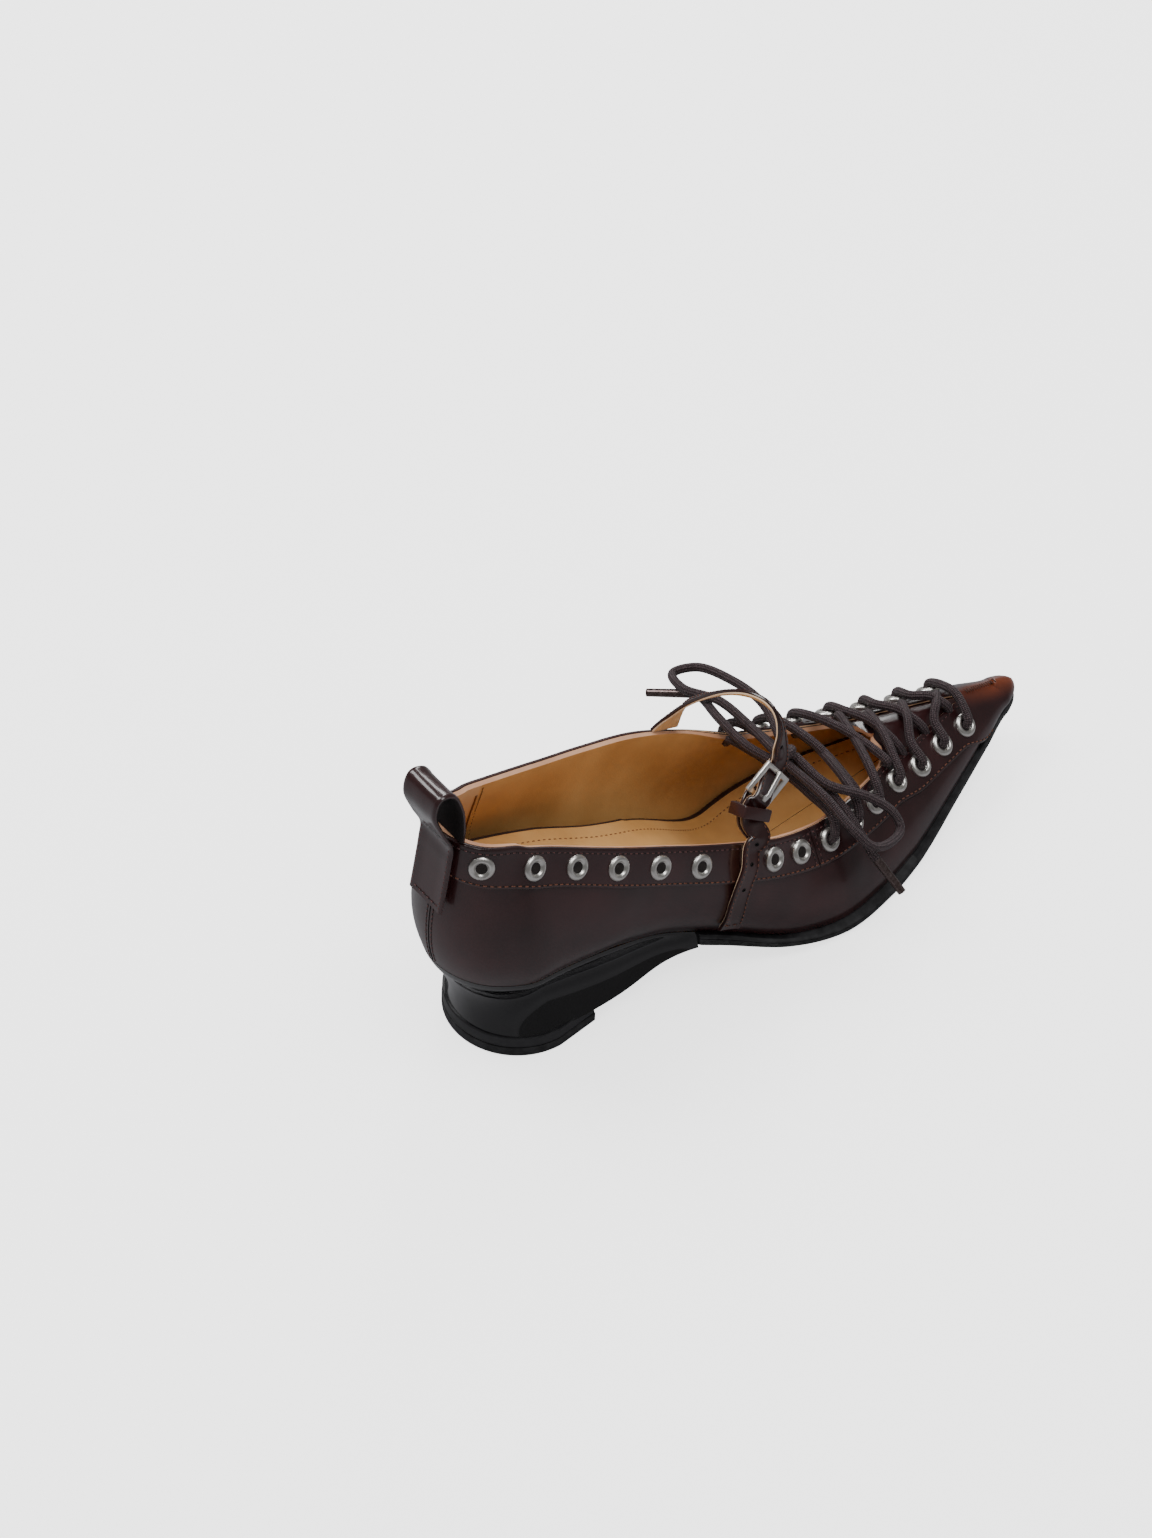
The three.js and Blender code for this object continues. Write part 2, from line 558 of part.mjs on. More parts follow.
// Overlays: the eyelet band round the collar and the facing along the throat and over the toe
function overlay(part, shut) {
  const strip = (lift) =>
    part.map(({ side, row }) => overlayLevels(side, row).map((t) => skin(side, row, t, lift)));
  let body = slab(strip(bandLift), strip(SKIN_GAP), { shut });
  const hole = EYELET_BARREL / 2 + FIT_GAP;
  for (const eyelet of eyelets) body = body.subtract(pin(hole, bandLift + 1, 2, eyelet, EYELET_SIDES));
  return body;
}
function makeBand() {
  const half = (side) => {
    const end = seamRow(side, -FIT_GAP);
    return [...stationsOf(side).filter((row) => row < end), end].map((row) => ({ side, row }));
  };
  return overlay([...half(MEDIAL).reverse(), ...half(LATERAL).slice(1)], () => false);
}
function makeFacing() {
  const half = (side) => {
    const start = seamRow(side, 0);
    return stationsOf(side).filter((row) => row >= start).map((row) => ({ side, row }));
  };
  const part = [...half(LATERAL), ...half(MEDIAL).slice(0, -1).reverse()];
  const meets = ({ side, row }) => edgeLevel(side, row) === 1 && isRidge(side, row, 1);
  return overlay(part, (i, k) => meets(part[i]) && meets(part[k]));
}

add("upper", makeUpper(), UPPER_LEATHER);
add("collar_band", makeBand(), BAND_LEATHER);
add("facing", makeFacing(), BAND_LEATHER);

// Level direction out of the feather line.
function outlineNormal(side, row) {
  const ahead = lastPoint(side, Math.min(row + 0.05, LAST_ROW), 0);
  const behind = lastPoint(side, Math.max(row - 0.05, 0), 0);
  const normal = new THREE.Vector3(ahead.y - behind.y, behind.x - ahead.x, 0).multiplyScalar(-side);
  if (row === 0 || row === LAST_ROW) normal.y = 0;
  return normal.normalize();
}

// Insole: a plate that lies in the upper on the sole. Its heel half is built up under the sock.
const HEEL_PAD = 21;
const padHeight = (x) => HEEL_PAD * (1 - THREE.MathUtils.smoothstep(x, SHOE_LENGTH * 0.21, SHOE_LENGTH * 0.4));
function makeInsole() {
  const drop = (row, side, lift) => {
    const foot = lastPoint(side, row, 0);
    const p = foot.clone().addScaledVector(outlineNormal(side, row), -WALL - 3 * FIT_GAP);
    return p.setZ(featherHeight(foot.x) + lift + (lift > 0 ? padHeight(foot.x) : 0));
  };
  const rows = stations.filter((row) => row <= TOE_ROW);
  const grid = (lift) => rows.map((row) => [drop(row, LATERAL, lift), drop(row, MEDIAL, lift)]);
  return slab(grid(INSOLE_THICKNESS), grid(0));
}
add("insole", makeInsole(), LINING);

// Outsole: rows of one edge profile from the waist round the toe. out: beyond the feather line.
// up: share of the sole's thickness, from its underside.
const SOLE_EDGE = [
  { out: -0.5, up: 0 },
  { out: 0.7, up: 0.16 },
  { out: 1, up: 0.45 },
  { out: 0.95, up: 0.72 },
  { out: 0.6, up: 1 },
];
const BALL_AT = 128; // the flare's middle from the origin
const BALL_SPAN = 85; // and how far it reaches either way
const UNDERCUT_SHARE = 0.12; // the undercut shrinks with the half width towards the toe
// Underside of sole and waist: flat on the floor under the ball.
function underside(x) {
  return featherHeight(x) - soleDepth(x);
}
function soleDepth(x) {
  const share = (x + BACK_OVERHANG) / SHOE_LENGTH;
  return SOLE_THICKNESS * (1 + 0.35 * smooth((0.5 - share) / 0.12) + 0.15 * smooth((share - 0.7) / 0.25));
}
function makeOutsole() {
  const start = rowAt(LATERAL, fromBack(SOLE_BACK), () => 0);
  const rows = [start, ...stations.filter((row) => row > start + 0.1)];
  const edge = (side, row, { out, up }) => {
    const foot = lastPoint(side, row, 0);
    const flare = BALL_FLARE * Math.cos((Math.PI / 2) * Math.min(Math.abs(foot.x - BALL_AT) / BALL_SPAN, 1)) ** 2;
    const step = out > 0 ? WELT + flare : Math.min(WELT, Math.abs(foot.y) * UNDERCUT_SHARE);
    const p = foot.clone().addScaledVector(outlineNormal(side, row), out * step);
    if (row === start) p.setX(foot.x);
    return p.setZ(underside(foot.x) + up * (soleDepth(foot.x) - FIT_GAP));
  };
  const grid = (profile) =>
    rows.map((row) => [edge(LATERAL, row, profile), edge(MEDIAL, row, profile)]);
  const layers = SOLE_EDGE.map(grid);
  return stack(layers);
}

// A solid stacked from layers of pairs: layer[i] holds the outer and the inner edge of row i.
function stack(layers) {
  const outline = (layer) => [
    ...layer.map(([outer]) => outer),
    ...layer.slice(0, -1).reverse().map(([, inner]) => inner),
  ];
  const position = [];
  const face = (a, b, c) => {
    for (const p of [a, b, c]) position.push(p.x, p.y, p.z);
  };
  const rings = layers.map(outline);
  for (let k = 0; k + 1 < rings.length; k++) {
    const [low, high] = [rings[k], rings[k + 1]];
    low.forEach((p, i) => {
      const n = (i + 1) % low.length;
      face(p, low[n], high[n]);
      face(p, high[n], high[i]);
    });
  }
  const lid = (layer, up) => {
    for (let i = 0; i + 1 < layer.length; i++) {
      const [[a, d], [b, c]] = [layer[i], layer[i + 1]];
      const quad = [a, b, c, d];
      const tip = i + 2 === layer.length;
      const faces = tip ? [[0, 1, 3]] : [[0, 1, 2], [0, 2, 3]];
      for (const f of faces) {
        const [p, q, r] = f.map((n) => quad[n]);
        if (up) face(p, q, r);
        else face(p, r, q);
      }
    }
  };
  lid(layers[0], false);
  lid(layers[layers.length - 1], true);
  const geometry = new THREE.BufferGeometry();
  geometry.setAttribute("position", new THREE.BufferAttribute(new Float32Array(position), 3));
  return solidOf(geometry);
}
add("outsole", makeOutsole(), RUBBER);

// Heel: a block with scooped flanks that runs forward into the waist, on a round base
function makeHeel() {
  const end = rowAt(LATERAL, fromBack(SOLE_BACK) - FIT_GAP, () => 0);
  const rows = [...stations.filter((row) => row < end - 0.1), end];
  const endX = lastPoint(LATERAL, end, 0).x;
  const level = (side, row, f) => {
    const top = lastPoint(side, row, 0);
    const turn = (column(halfOf(side), "turn", row) * Math.PI) / 180;
    const back = turn < 0 || row <= 3;
    const along = back ? 0 : Math.min(1, (top.x - atX(halfOf(side)[3].along)) / (endX - atX(halfOf(side)[3].along)));
    const baseX = back ? HEEL_BASE_RADIUS * Math.sin(turn) : along * endX;
    const half = back ? HEEL_BASE_RADIUS * Math.cos(turn) : HEEL_BASE_RADIUS + (Math.abs(top.y) + WELT - HEEL_BASE_RADIUS) * smooth(along);
    const rise = smooth((baseX - HEEL_BREAST + 6) / (endX - HEEL_BREAST + 6));
    const low = HEEL_RIM + (Math.min(ARCH_CLEARANCE, underside(endX)) - HEEL_RIM) * rise;
    const base = new THREE.Vector3(baseX, side * half, low);
    top.z -= FIT_GAP;
    const p = base.lerp(top, f);
    const hollow = back ? 0.25 + 0.75 * Math.cos(turn) ** 2 : 1;
    const scoop = 1 - FLANK_SCOOP * hollow * (1 - along) * Math.sin(Math.PI * Math.min(f * 1.1, 1));
    const centre = (1 - f) * baseX + f * top.x;
    const fan = back ? (1 - f) * 0 + f * atX(halfOf(side)[3].along) : centre;
    return new THREE.Vector3(fan + (p.x - fan) * scoop, p.y * scoop, p.z);
  };
  const shares = [0, 0.12, 0.3, 0.5, 0.7, 0.88, 1];
  const layers = shares.map((f) => rows.map((row) => [level(LATERAL, row, f), level(MEDIAL, row, f)]));
  return heelStack(layers);
}
// Layers from the round back to the square front end.
function heelStack(layers) {
  const turned = layers.map((layer) => [...layer].reverse().map(([outer, inner]) => [inner, outer]));
  return stack(turned);
}
function roundBase(radius, breast, low, high) {
  const shape = new THREE.Shape();
  shape.moveTo(0, -radius);
  shape.lineTo(breast, BREAST_TAPER - radius);
  shape.lineTo(breast, radius - BREAST_TAPER);
  shape.lineTo(0, radius);
  shape.absarc(0, 0, radius, Math.PI / 2, (3 * Math.PI) / 2, false);
  const plate = new THREE.ExtrudeGeometry(shape, { depth: high - low, bevelEnabled: false, curveSegments: 14 });
  return plate.translate(0, 0, low);
}
const heelRim = solidOf(roundBase(HEEL_BASE_RADIUS + 0.8, HEEL_BREAST, TOP_LIFT + FIT_GAP, HEEL_RIM + 0.6));
add("heel", makeHeel().add(heelRim), GLOSS_HEEL);
add("top_lift", roundBase(HEEL_BASE_RADIUS + 1, HEEL_BREAST + 0.4, 0, TOP_LIFT), RUBBER);

// Eyelets: a domed flange on a barrel. Those of the collar end in the band
function makeEyelet({ kind, place, normal }) {
  const depth = kind === "lace" ? bandLift + WALL + 0.4 : BAND_THICKNESS;
  const [inner, outer, barrel] = [EYELET_HOLE / 2, EYELET_OUTER / 2, EYELET_BARREL / 2];
  const profile = [
    [inner, -depth],
    [barrel, -depth],
    [barrel, FIT_GAP],
    [outer, FIT_GAP],
    [(inner + outer) / 2 + 0.2, FIT_GAP + EYELET_RISE],
    [inner, FIT_GAP],
    [inner, -depth],
  ].map(([r, y]) => new THREE.Vector2(r, y));
  const ringGeometry = new THREE.LatheGeometry(profile, EYELET_SIDES).rotateX(Math.PI / 2);
  return stand(ringGeometry, place, normal);
}
for (const eyelet of eyelets) add(eyelet.name, makeEyelet(eyelet), NICKEL);

// A flat ribbon: each section has the middle of its inner face, the direction across it, the
// direction out of it, its width and its thickness.
function ribbon(sections, loop = false) {
  const corner = ({ middle, across, out, width, thickness }, sideways, lift) =>
    middle
      .clone()
      .addScaledVector(across, (sideways * width) / 2)
      .addScaledVector(out, lift * thickness);
  const grid = (lift) => sections.map((s) => [corner(s, -1, lift), corner(s, 1, lift)]);
  return slab(grid(1), grid(0), { loop });
}
// Sections along a smooth path, turned to face out as the path turns.
function sectionsAlong(points, outs, count, width, thickness) {
  const path = new THREE.CatmullRomCurve3(points, false, "centripetal");
  const facing = new THREE.CatmullRomCurve3(outs, false, "centripetal");
  return Array.from({ length: count + 1 }, (_, k) => {
    const f = k / count;
    const forward = path.getTangent(f);
    const across = facing.getPoint(f).cross(forward).normalize();
    const out = forward.clone().cross(across).normalize();
    return { middle: path.getPoint(f), across, out, width: width(f), thickness };
  });
}

// A frame on a flat part of the strap: down it, across it and out of it
function frameOn(middle, down, facing) {
  const along = down.clone().normalize();
  const across = along.clone().cross(facing).normalize();
  return { middle, down: along, across, out: across.clone().cross(along).normalize() };
}
const within = ({ middle, down, out }, far, lift) =>
  middle.clone().addScaledVector(down, far).addScaledVector(out, lift);
// Puts a geometry in such a frame: its X across, Y down and Z out.
function putOn(geometry, { middle, down, across, out }) {
  const basis = new THREE.Matrix4().makeBasis(across, down, out);
  return geometry.applyMatrix4(basis.setPosition(middle));
}

// The buckle stands above the collar's outer edge, on a tab sewn to the band. The keeper lies
// below it round the tab and the strap's free end.
const tabRow = rowAt(LATERAL, fromBack(TAB_FROM_BACK), () => 1);
const tabRim = lastPoint(LATERAL, tabRow, 1);
const buckle = frameOn(tabRim.clone().add(BUCKLE_FROM_RIM), BUCKLE_DOWN, BUCKLE_OUT);
const barOut = BUCKLE_THICKNESS / 2 + FIT_GAP; // clear of a bar's face
const nearBar = (BUCKLE_LENGTH - BUCKLE_BAR) / 2; // middle of the bar next to the tab
const bend = buckle.down.clone().add(KEEPER_DOWN.clone().normalize()).normalize();
const keeperMiddle = within(buckle, nearBar + 1.6, 0.5).addScaledVector(bend, 4.6);
const keeper = frameOn(keeperMiddle, KEEPER_DOWN, BUCKLE_OUT);

// Places and facings down the outer quarter from the collar edge, for a strip that lies on it
function downQuarter(reach, slant, steps, lifts) {
  return levels(steps).map((f) => {
    const below = 1.5 + f * (reach - 1.5);
    const row = tabRow - slant * (0.3 + 0.7 * (1 - (1 - f) ** 2.2));
    const level = levelBelow(LATERAL, row, 1, below);
    return { place: skin(LATERAL, row, level, lifts(below)), out: lastNormal(LATERAL, row, level) };
  });
}
const onBand = bandLift + FIT_GAP;
const overTab = onBand + TAB_THICKNESS + 2.5 * FIT_GAP;
const rimOut = new THREE.Vector3(0, -0.9, 0.4);

function makeTab() {
  const low = downQuarter(TAB_REACH, 0.3 * TAIL_SLANT, 2, () => onBand);
  const places = [
    within(buckle, nearBar - 2.4, -barOut - TAB_THICKNESS - 2 * FIT_GAP),
    within(buckle, nearBar + 0.6, -barOut - TAB_THICKNESS - 2 * FIT_GAP),
    within(keeper, -KEEPER_WIDTH / 2 - 0.6, -2 * FIT_GAP - TAB_THICKNESS),
    within(keeper, KEEPER_WIDTH / 2 + 0.6, -2 * FIT_GAP - TAB_THICKNESS),
    tabRim.clone().addScaledVector(rimOut, onBand).add(new THREE.Vector3(1, 0, 3.5)),
    ...low.map(({ place }) => place),
  ];
  const outs = [buckle.out, buckle.out, keeper.out, keeper.out, rimOut, ...low.map(({ out }) => out)];
  return ribbon(sectionsAlong(places, outs, 12, () => STRAP_WIDTH, TAB_THICKNESS));
}

// Strap: root on the collar's inner side, over the instep, under the buckle's far bar, over the
// near one, through the keeper and down the outer quarter
function makeStrap() {
  const rootRow = rowAt(MEDIAL, fromBack(STRAP_FROM_BACK), () => 1);
  const root = skin(MEDIAL, rootRow, 1, -0.2).add(new THREE.Vector3(0, 0, 3 * FIT_GAP));
  const under = -barOut - STRAP_THICKNESS - FIT_GAP;
  const entry = within(buckle, -nearBar - 3, under);
  const span = entry.clone().sub(root);
  const arch = ARCH.map(({ across, ahead, rise }) =>
    root.clone().add(new THREE.Vector3(span.x * ahead, span.y * across, STRAP_ARCH * rise)),
  );
  const tail = downQuarter(TAIL_REACH, TAIL_SLANT, 5, (below) => {
    const offTab = smooth((below - TAB_REACH - 2) / 3);
    const offBand = smooth((below - BAND_WIDTH - 1) / 4);
    return overTab - offTab * (overTab - onBand) - offBand * (onBand - SKIN_GAP);
  });
  const places = [
    root,
    ...arch,
    entry,
    within(buckle, -nearBar, under),
    within(buckle, 0, (under + barOut) / 2 - 0.2),
    within(buckle, nearBar, barOut + 2 * FIT_GAP),
    within(buckle, nearBar + 1.6, barOut + FIT_GAP),
    within(keeper, -KEEPER_WIDTH / 2 - 0.6, 0),
    within(keeper, KEEPER_WIDTH / 2 + 0.6, 0.2),
    tabRim.clone().addScaledVector(rimOut, overTab + 2 * FIT_GAP).add(new THREE.Vector3(1, 0, 3.5)),
    ...tail.map(({ place }) => place),
  ];
  const outs = [
    new THREE.Vector3(-0.05, 1, 0.1),
    ...ARCH.map(({ faceX, faceY, faceZ }) => new THREE.Vector3(faceX, faceY, faceZ)),
    ...[0, 1, 2, 3, 4].map(() => buckle.out),
    keeper.out,
    keeper.out,
    rimOut,
    ...tail.map(({ out }) => out),
  ];
  const width = (f) => STRAP_WIDTH * (1 + (STRAP_FLARE - 1) * (1 - smooth(f / 0.09)) ** 2);
  return ribbon(sectionsAlong(places, outs, 46, width, STRAP_THICKNESS));
}

function rectangle(width, length, path = new THREE.Shape()) {
  path.moveTo(-width / 2, -length / 2);
  path.lineTo(width / 2, -length / 2);
  path.lineTo(width / 2, length / 2);
  path.lineTo(-width / 2, length / 2);
  path.closePath();
  return path;
}
function makeBuckle() {
  const inside = STRAP_WIDTH + 5 * FIT_GAP;
  const shape = rectangle(inside + 2 * BUCKLE_BAR, BUCKLE_LENGTH);
  shape.holes.push(rectangle(inside, BUCKLE_LENGTH - 2 * BUCKLE_BAR, new THREE.Path()));
  const frame = new THREE.ExtrudeGeometry(shape, { depth: BUCKLE_THICKNESS, bevelEnabled: false });
  return putOn(frame.translate(0, 0, -BUCKLE_THICKNESS / 2), buckle);
}
// Prong: stands on the near bar, rises through the strap's hole and lies on the far bar.
function makeProng() {
  const low = BUCKLE_THICKNESS / 2 + FIT_GAP;
  const top = low + PRONG_WIDTH * 0.7;
  const side = new THREE.Shape();
  side.moveTo(nearBar - 0.9, low);
  side.lineTo(nearBar + 0.5, low);
  side.lineTo(nearBar + 0.5, top + STRAP_THICKNESS);
  side.lineTo(nearBar - 2.4, top + STRAP_THICKNESS + 0.5);
  side.lineTo(-nearBar - 0.8, top);
  side.lineTo(-nearBar - 0.8, low);
  side.lineTo(-nearBar + 0.8, low);
  side.lineTo(nearBar - 2.2, low + STRAP_THICKNESS + 0.9);
  side.lineTo(nearBar - 0.9, low + STRAP_THICKNESS + 0.9);
  side.closePath();
  const prong = new THREE.ExtrudeGeometry(side, { depth: PRONG_WIDTH, bevelEnabled: false });
  prong.translate(0, 0, -PRONG_WIDTH / 2);
  const upright = new THREE.Matrix4().makeBasis(
    new THREE.Vector3(0, 1, 0),
    new THREE.Vector3(0, 0, 1),
    new THREE.Vector3(1, 0, 0),
  );
  return putOn(prong.applyMatrix4(upright), buckle);
}
// Keeper: a square loop round the tab and the strap's free end.
function makeKeeper() {
  const inside = STRAP_WIDTH + 8 * FIT_GAP;
  const low = -TAB_THICKNESS - 6 * FIT_GAP;
  const high = STRAP_THICKNESS + 6 * FIT_GAP;
  const outline = rectangle(inside + 2 * KEEPER_THICKNESS, high - low + 2 * KEEPER_THICKNESS);
  outline.holes.push(rectangle(inside, high - low, new THREE.Path()));
  const loop = new THREE.ExtrudeGeometry(outline, { depth: KEEPER_WIDTH, bevelEnabled: false });
  loop.translate(0, (low + high) / 2, -KEEPER_WIDTH / 2).rotateX(Math.PI / 2);
  return putOn(loop, keeper);
}
const prongHole = new THREE.BoxGeometry(PRONG_WIDTH + 1, 4.6, 9).translate(0, nearBar - 0.9, 2);
const strap = makeStrap().subtract(solidOf(putOn(prongHole, buckle)));
add("buckle_tab", makeTab(), STRAP_LEATHER);
add("strap", strap, STRAP_LEATHER);
add("keeper", makeKeeper(), STRAP_LEATHER);
add("buckle_frame", makeBuckle(), NICKEL);
add("buckle_prong", makeProng(), NICKEL);

// Pull loop: sewn on over the back seam, up from the heel cup and down onto the collar's edge
function makePullLoop() {
  const lift = bandLift + FIT_GAP;
  const rim = lastPoint(LATERAL, 0, 1);
  const sewn = [LOOP_REACH, LOOP_REACH * 0.6, 8, 0].map((below) => {
    const level = levelBelow(LATERAL, 0, 1, below);
    return below > BAND_WIDTH ? skin(LATERAL, 0, level, lift) : skin(LATERAL, 0, Math.min(level, 1), lift);
  });
  const back = -lift - LOOP_LEAN;
  const free = [
    [back * 0.62, 0.34],
    [back, 0.74],
    [back * 0.78, 0.97],
    [back * 0.3, 0.93],
    [WALL * 0.45, 0.62],
    [WALL * 0.9, 0.3],
    [WALL * 0.7, 0.012],
  ].map(([x, z]) => rim.clone().add(new THREE.Vector3(x, 0, z * LOOP_RISE)));
  const outs = [[-1, 0], [-1, 0], [-1, 0], [-1, -0.1], [-0.9, -0.4], [-1, 0.1], [-0.7, 0.9], [0.6, 1], [1, 0.1], [1, 0], [1, 0]];
  const turned = outs.map(([x, z]) => new THREE.Vector3(x, 0, z));
  return ribbon(sectionsAlong([...sewn, ...free], turned, 22, () => LOOP_WIDTH, LOOP_THICKNESS));
}
add("pull_loop", makePullLoop(), BAND_LEATHER);

// Laces: round cord along a smooth path
function cord(points, diameter, steps) {
  const section = new THREE.Shape();
  for (let k = 0; k < LACE_SIDES; k++) {
    const turn = (2 * Math.PI * k) / LACE_SIDES;
    const [x, y] = [(diameter / 2) * Math.cos(turn), (diameter / 2) * Math.sin(turn)];
    if (k === 0) section.moveTo(x, y);
    else section.lineTo(x, y);
  }
  section.closePath();
  const extrudePath = new THREE.CatmullRomCurve3(points, false, "centripetal");
  return new THREE.ExtrudeGeometry(section, { steps, extrudePath, bevelEnabled: false });
}
const v = (x, y, z) => new THREE.Vector3(x, y, z);
const laceLift = FIT_GAP + EYELET_RISE + LACE / 2 + 3.5 * FIT_GAP;

// Where a lace leaves an eyelet, and where it passes over the edge of the facing above it.
function leaving({ side, row, place, normal }) {
  const start = place.clone().addScaledVector(normal, laceLift);
  const edge = edgeLevel(side, row);
  const over = skin(side, row + 0.05, edge, bandLift + LACE / 2 + 2 * FIT_GAP).add(v(0.5, 0, 1));
  return [start, over];
}
// A strand from above one eyelet, over the throat, to the edge of the opposite facing.
function strand(side, k, raise) {
  const [start, over] = leaving(eyeletAt(side, k));
  const to = eyeletAt(-side, k + 1);
  const edge = edgeLevel(-side, to.row - 0.24);
  const inward = v(0, side, 0); // from the far facing towards the throat
  const open = edge === 1;
  const level = open ? 1 : edge + 0.3 * (1 - edge);
  const lift = open ? 0 : bandLift + LACE / 2;
  const end = skin(-side, to.row - 0.24, level, lift);
  if (open) end.addScaledVector(inward, LACE / 2 + 0.8);
  const middle = over.clone().lerp(end, 0.5);
  middle.z = Math.max(over.z, end.z) + raise;
  return [start, over, middle, end];
}
for (let k = 1; k < LACE_COUNT; k++) {
  const under = solidOf(cord(strand(MEDIAL, k, 1), LACE, 5));
  const over = k > 1 ? solidOf(cord(strand(LATERAL, k, 2.4), LACE, 5)) : null;
  add(`lace_cross_${k}`, over ? over.add(under) : under, CORD);
}
// The two ends that rise to the knot from the first pair of eyelets
function makeRise() {
  const foot = KNOT.clone().add(v(0, 0, -KNOT_SIZE.z / 2 - FIT_GAP - LACE / 2));
  const [a, b] = [eyeletAt(LATERAL, 1), eyeletAt(MEDIAL, 1)];
  const [start, over] = leaving(a);
  const near = cord([start, over, over.clone().lerp(foot, 0.5), foot], LACE, 6);
  const edge = skin(MEDIAL, b.row - 0.14, 1, 0).add(v(0, -LACE / 2 - 0.8, -0.5));
  const far = cord([edge, edge.clone().lerp(foot, 0.5).add(v(-1, 0, 1)), foot.clone().add(v(-0.6, 0, 0))], LACE, 5);
  return solidOf(near).add(solidOf(far));
}
add("lace_rise", makeRise(), CORD);
function makeBar() {
  const [a, b] = [eyeletAt(LATERAL, LACE_COUNT), eyeletAt(MEDIAL, LACE_COUNT)];
  const [start, over] = leaving(a);
  const [end, under] = leaving(b);
  const middle = over.clone().lerp(under, 0.5).add(v(0.5, 0, 0.5));
  return cord([start, middle, end], LACE, 5);
}
add("lace_bar", makeBar(), CORD);

// Bow: a knot, two loops and two ends with their metal tips
const fromKnot = (table) => table.map(({ ahead, inner, up }) => KNOT.clone().add(v(ahead, inner, up)));
const knot = solidOf(
  new THREE.SphereGeometry(0.5, 10, 7)
    .rotateX(Math.PI / 2)
    .scale(KNOT_SIZE.x, KNOT_SIZE.y, KNOT_SIZE.z)
    .translate(KNOT.x, KNOT.y, KNOT.z),
);
const roomy = solidOf(
  new THREE.SphereGeometry(0.5, 10, 7)
    .rotateX(Math.PI / 2)
    .scale(KNOT_SIZE.x + 2 * FIT_GAP, KNOT_SIZE.y + 2 * FIT_GAP, KNOT_SIZE.z + 2 * FIT_GAP)
    .translate(KNOT.x, KNOT.y, KNOT.z),
);
// A part of the bow that leaves the knot, cut clear of it.
const clearOf = (geometry) => solidOf(geometry).subtract(roomy);
function makeEnd(table) {
  const points = fromKnot(table);
  const tip = points[points.length - 1];
  const top = points[points.length - 2];
  const way = tip.clone().sub(top).normalize();
  const foot = tip.clone().addScaledVector(way, -AGLET_LENGTH);
  const lace = clearOf(cord([...points.slice(0, -2), foot.clone().addScaledVector(way, -3 * FIT_GAP)], LACE, 8));
  const aglet = new THREE.CylinderGeometry(AGLET / 2, AGLET / 2, AGLET_LENGTH, LACE_SIDES).rotateX(Math.PI / 2);
  return { lace, aglet: stand(aglet, foot.clone().addScaledVector(way, AGLET_LENGTH / 2), way) };
}
add("lace_knot", knot, CORD);
add("lace_loop_far", clearOf(cord(fromKnot(FAR_LOOP), LACE, 17)), CORD);
add("lace_loop_near", clearOf(cord(fromKnot(NEAR_LOOP), LACE, 20)), CORD);
for (const [name, table] of [["far", FAR_END], ["near", NEAR_END]]) {
  const { lace, aglet } = makeEnd(table);
  add(`lace_end_${name}`, lace, CORD);
  add(`aglet_${name}`, aglet, NICKEL);
}

export default shoe;
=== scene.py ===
import math

import bpy
import numpy as np
from mathutils import Matrix, Vector
from mathutils.bvhtree import BVHTree


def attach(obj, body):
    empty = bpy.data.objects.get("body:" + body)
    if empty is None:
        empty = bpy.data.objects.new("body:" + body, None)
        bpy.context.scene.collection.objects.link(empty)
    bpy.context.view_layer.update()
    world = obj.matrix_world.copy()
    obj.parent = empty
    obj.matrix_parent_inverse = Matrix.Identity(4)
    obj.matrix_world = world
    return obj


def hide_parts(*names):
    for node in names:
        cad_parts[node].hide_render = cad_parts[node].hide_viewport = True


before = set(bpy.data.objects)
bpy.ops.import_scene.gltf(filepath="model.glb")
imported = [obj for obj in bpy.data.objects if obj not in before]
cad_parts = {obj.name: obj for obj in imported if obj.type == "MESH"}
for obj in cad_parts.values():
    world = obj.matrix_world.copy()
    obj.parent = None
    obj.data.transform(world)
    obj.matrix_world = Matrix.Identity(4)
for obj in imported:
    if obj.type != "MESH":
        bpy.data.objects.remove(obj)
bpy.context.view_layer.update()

# Camera: stands behind and above the outer side of the shoe and looks down its length.
# A long lens, upright picture, the shoe a little below the middle of the frame.
MM = 0.001
lens_turn, lens_fall, lens_roll = math.radians(39.5), math.radians(45.0), math.radians(2.69)
lens_shift = Vector((-21.8, -83.5, 1316.0)) * MM
turn_z = Matrix.Rotation(lens_turn, 3, "Z")
look_right = Vector((1, 0, 0))
look_ahead = Vector((0, math.cos(lens_fall), -math.sin(lens_fall)))
look_up = Vector((0, math.sin(lens_fall), math.cos(lens_fall)))
rolled_right = math.cos(lens_roll) * look_right + math.sin(lens_roll) * look_up
rolled_up = -math.sin(lens_roll) * look_right + math.cos(lens_roll) * look_up
to_camera = Matrix((rolled_right, rolled_up, look_ahead)) @ turn_z
camera_place = -(to_camera.transposed() @ lens_shift)
camera_data = bpy.data.cameras.new("studio_camera")
camera_data.lens = 85
camera_data.sensor_fit = "VERTICAL"
camera_data.sensor_height = 36
camera_data.sensor_width = 36
camera_data.clip_start = 0.01
camera = bpy.data.objects.new("studio_camera", camera_data)
bpy.context.scene.collection.objects.link(camera)
axes = Matrix((to_camera[0], to_camera[1], -Vector(to_camera[2]))).transposed()
camera.matrix_world = Matrix.Translation(camera_place) @ axes.to_4x4()
bpy.context.scene.camera = camera

# Bow: two loops and two ends of the waxed lace, with metal tips, tied in a flat knot.
# Round braided cord, 3.5 mm thick; the loops fall to either side of the throat.
LACE = 3.5
KNOT = np.array((121.0, -1.0, 55.0))
KNOT_HALF = np.array((5.0, 4.5, 4.2))
AGLET_LENGTH = 17
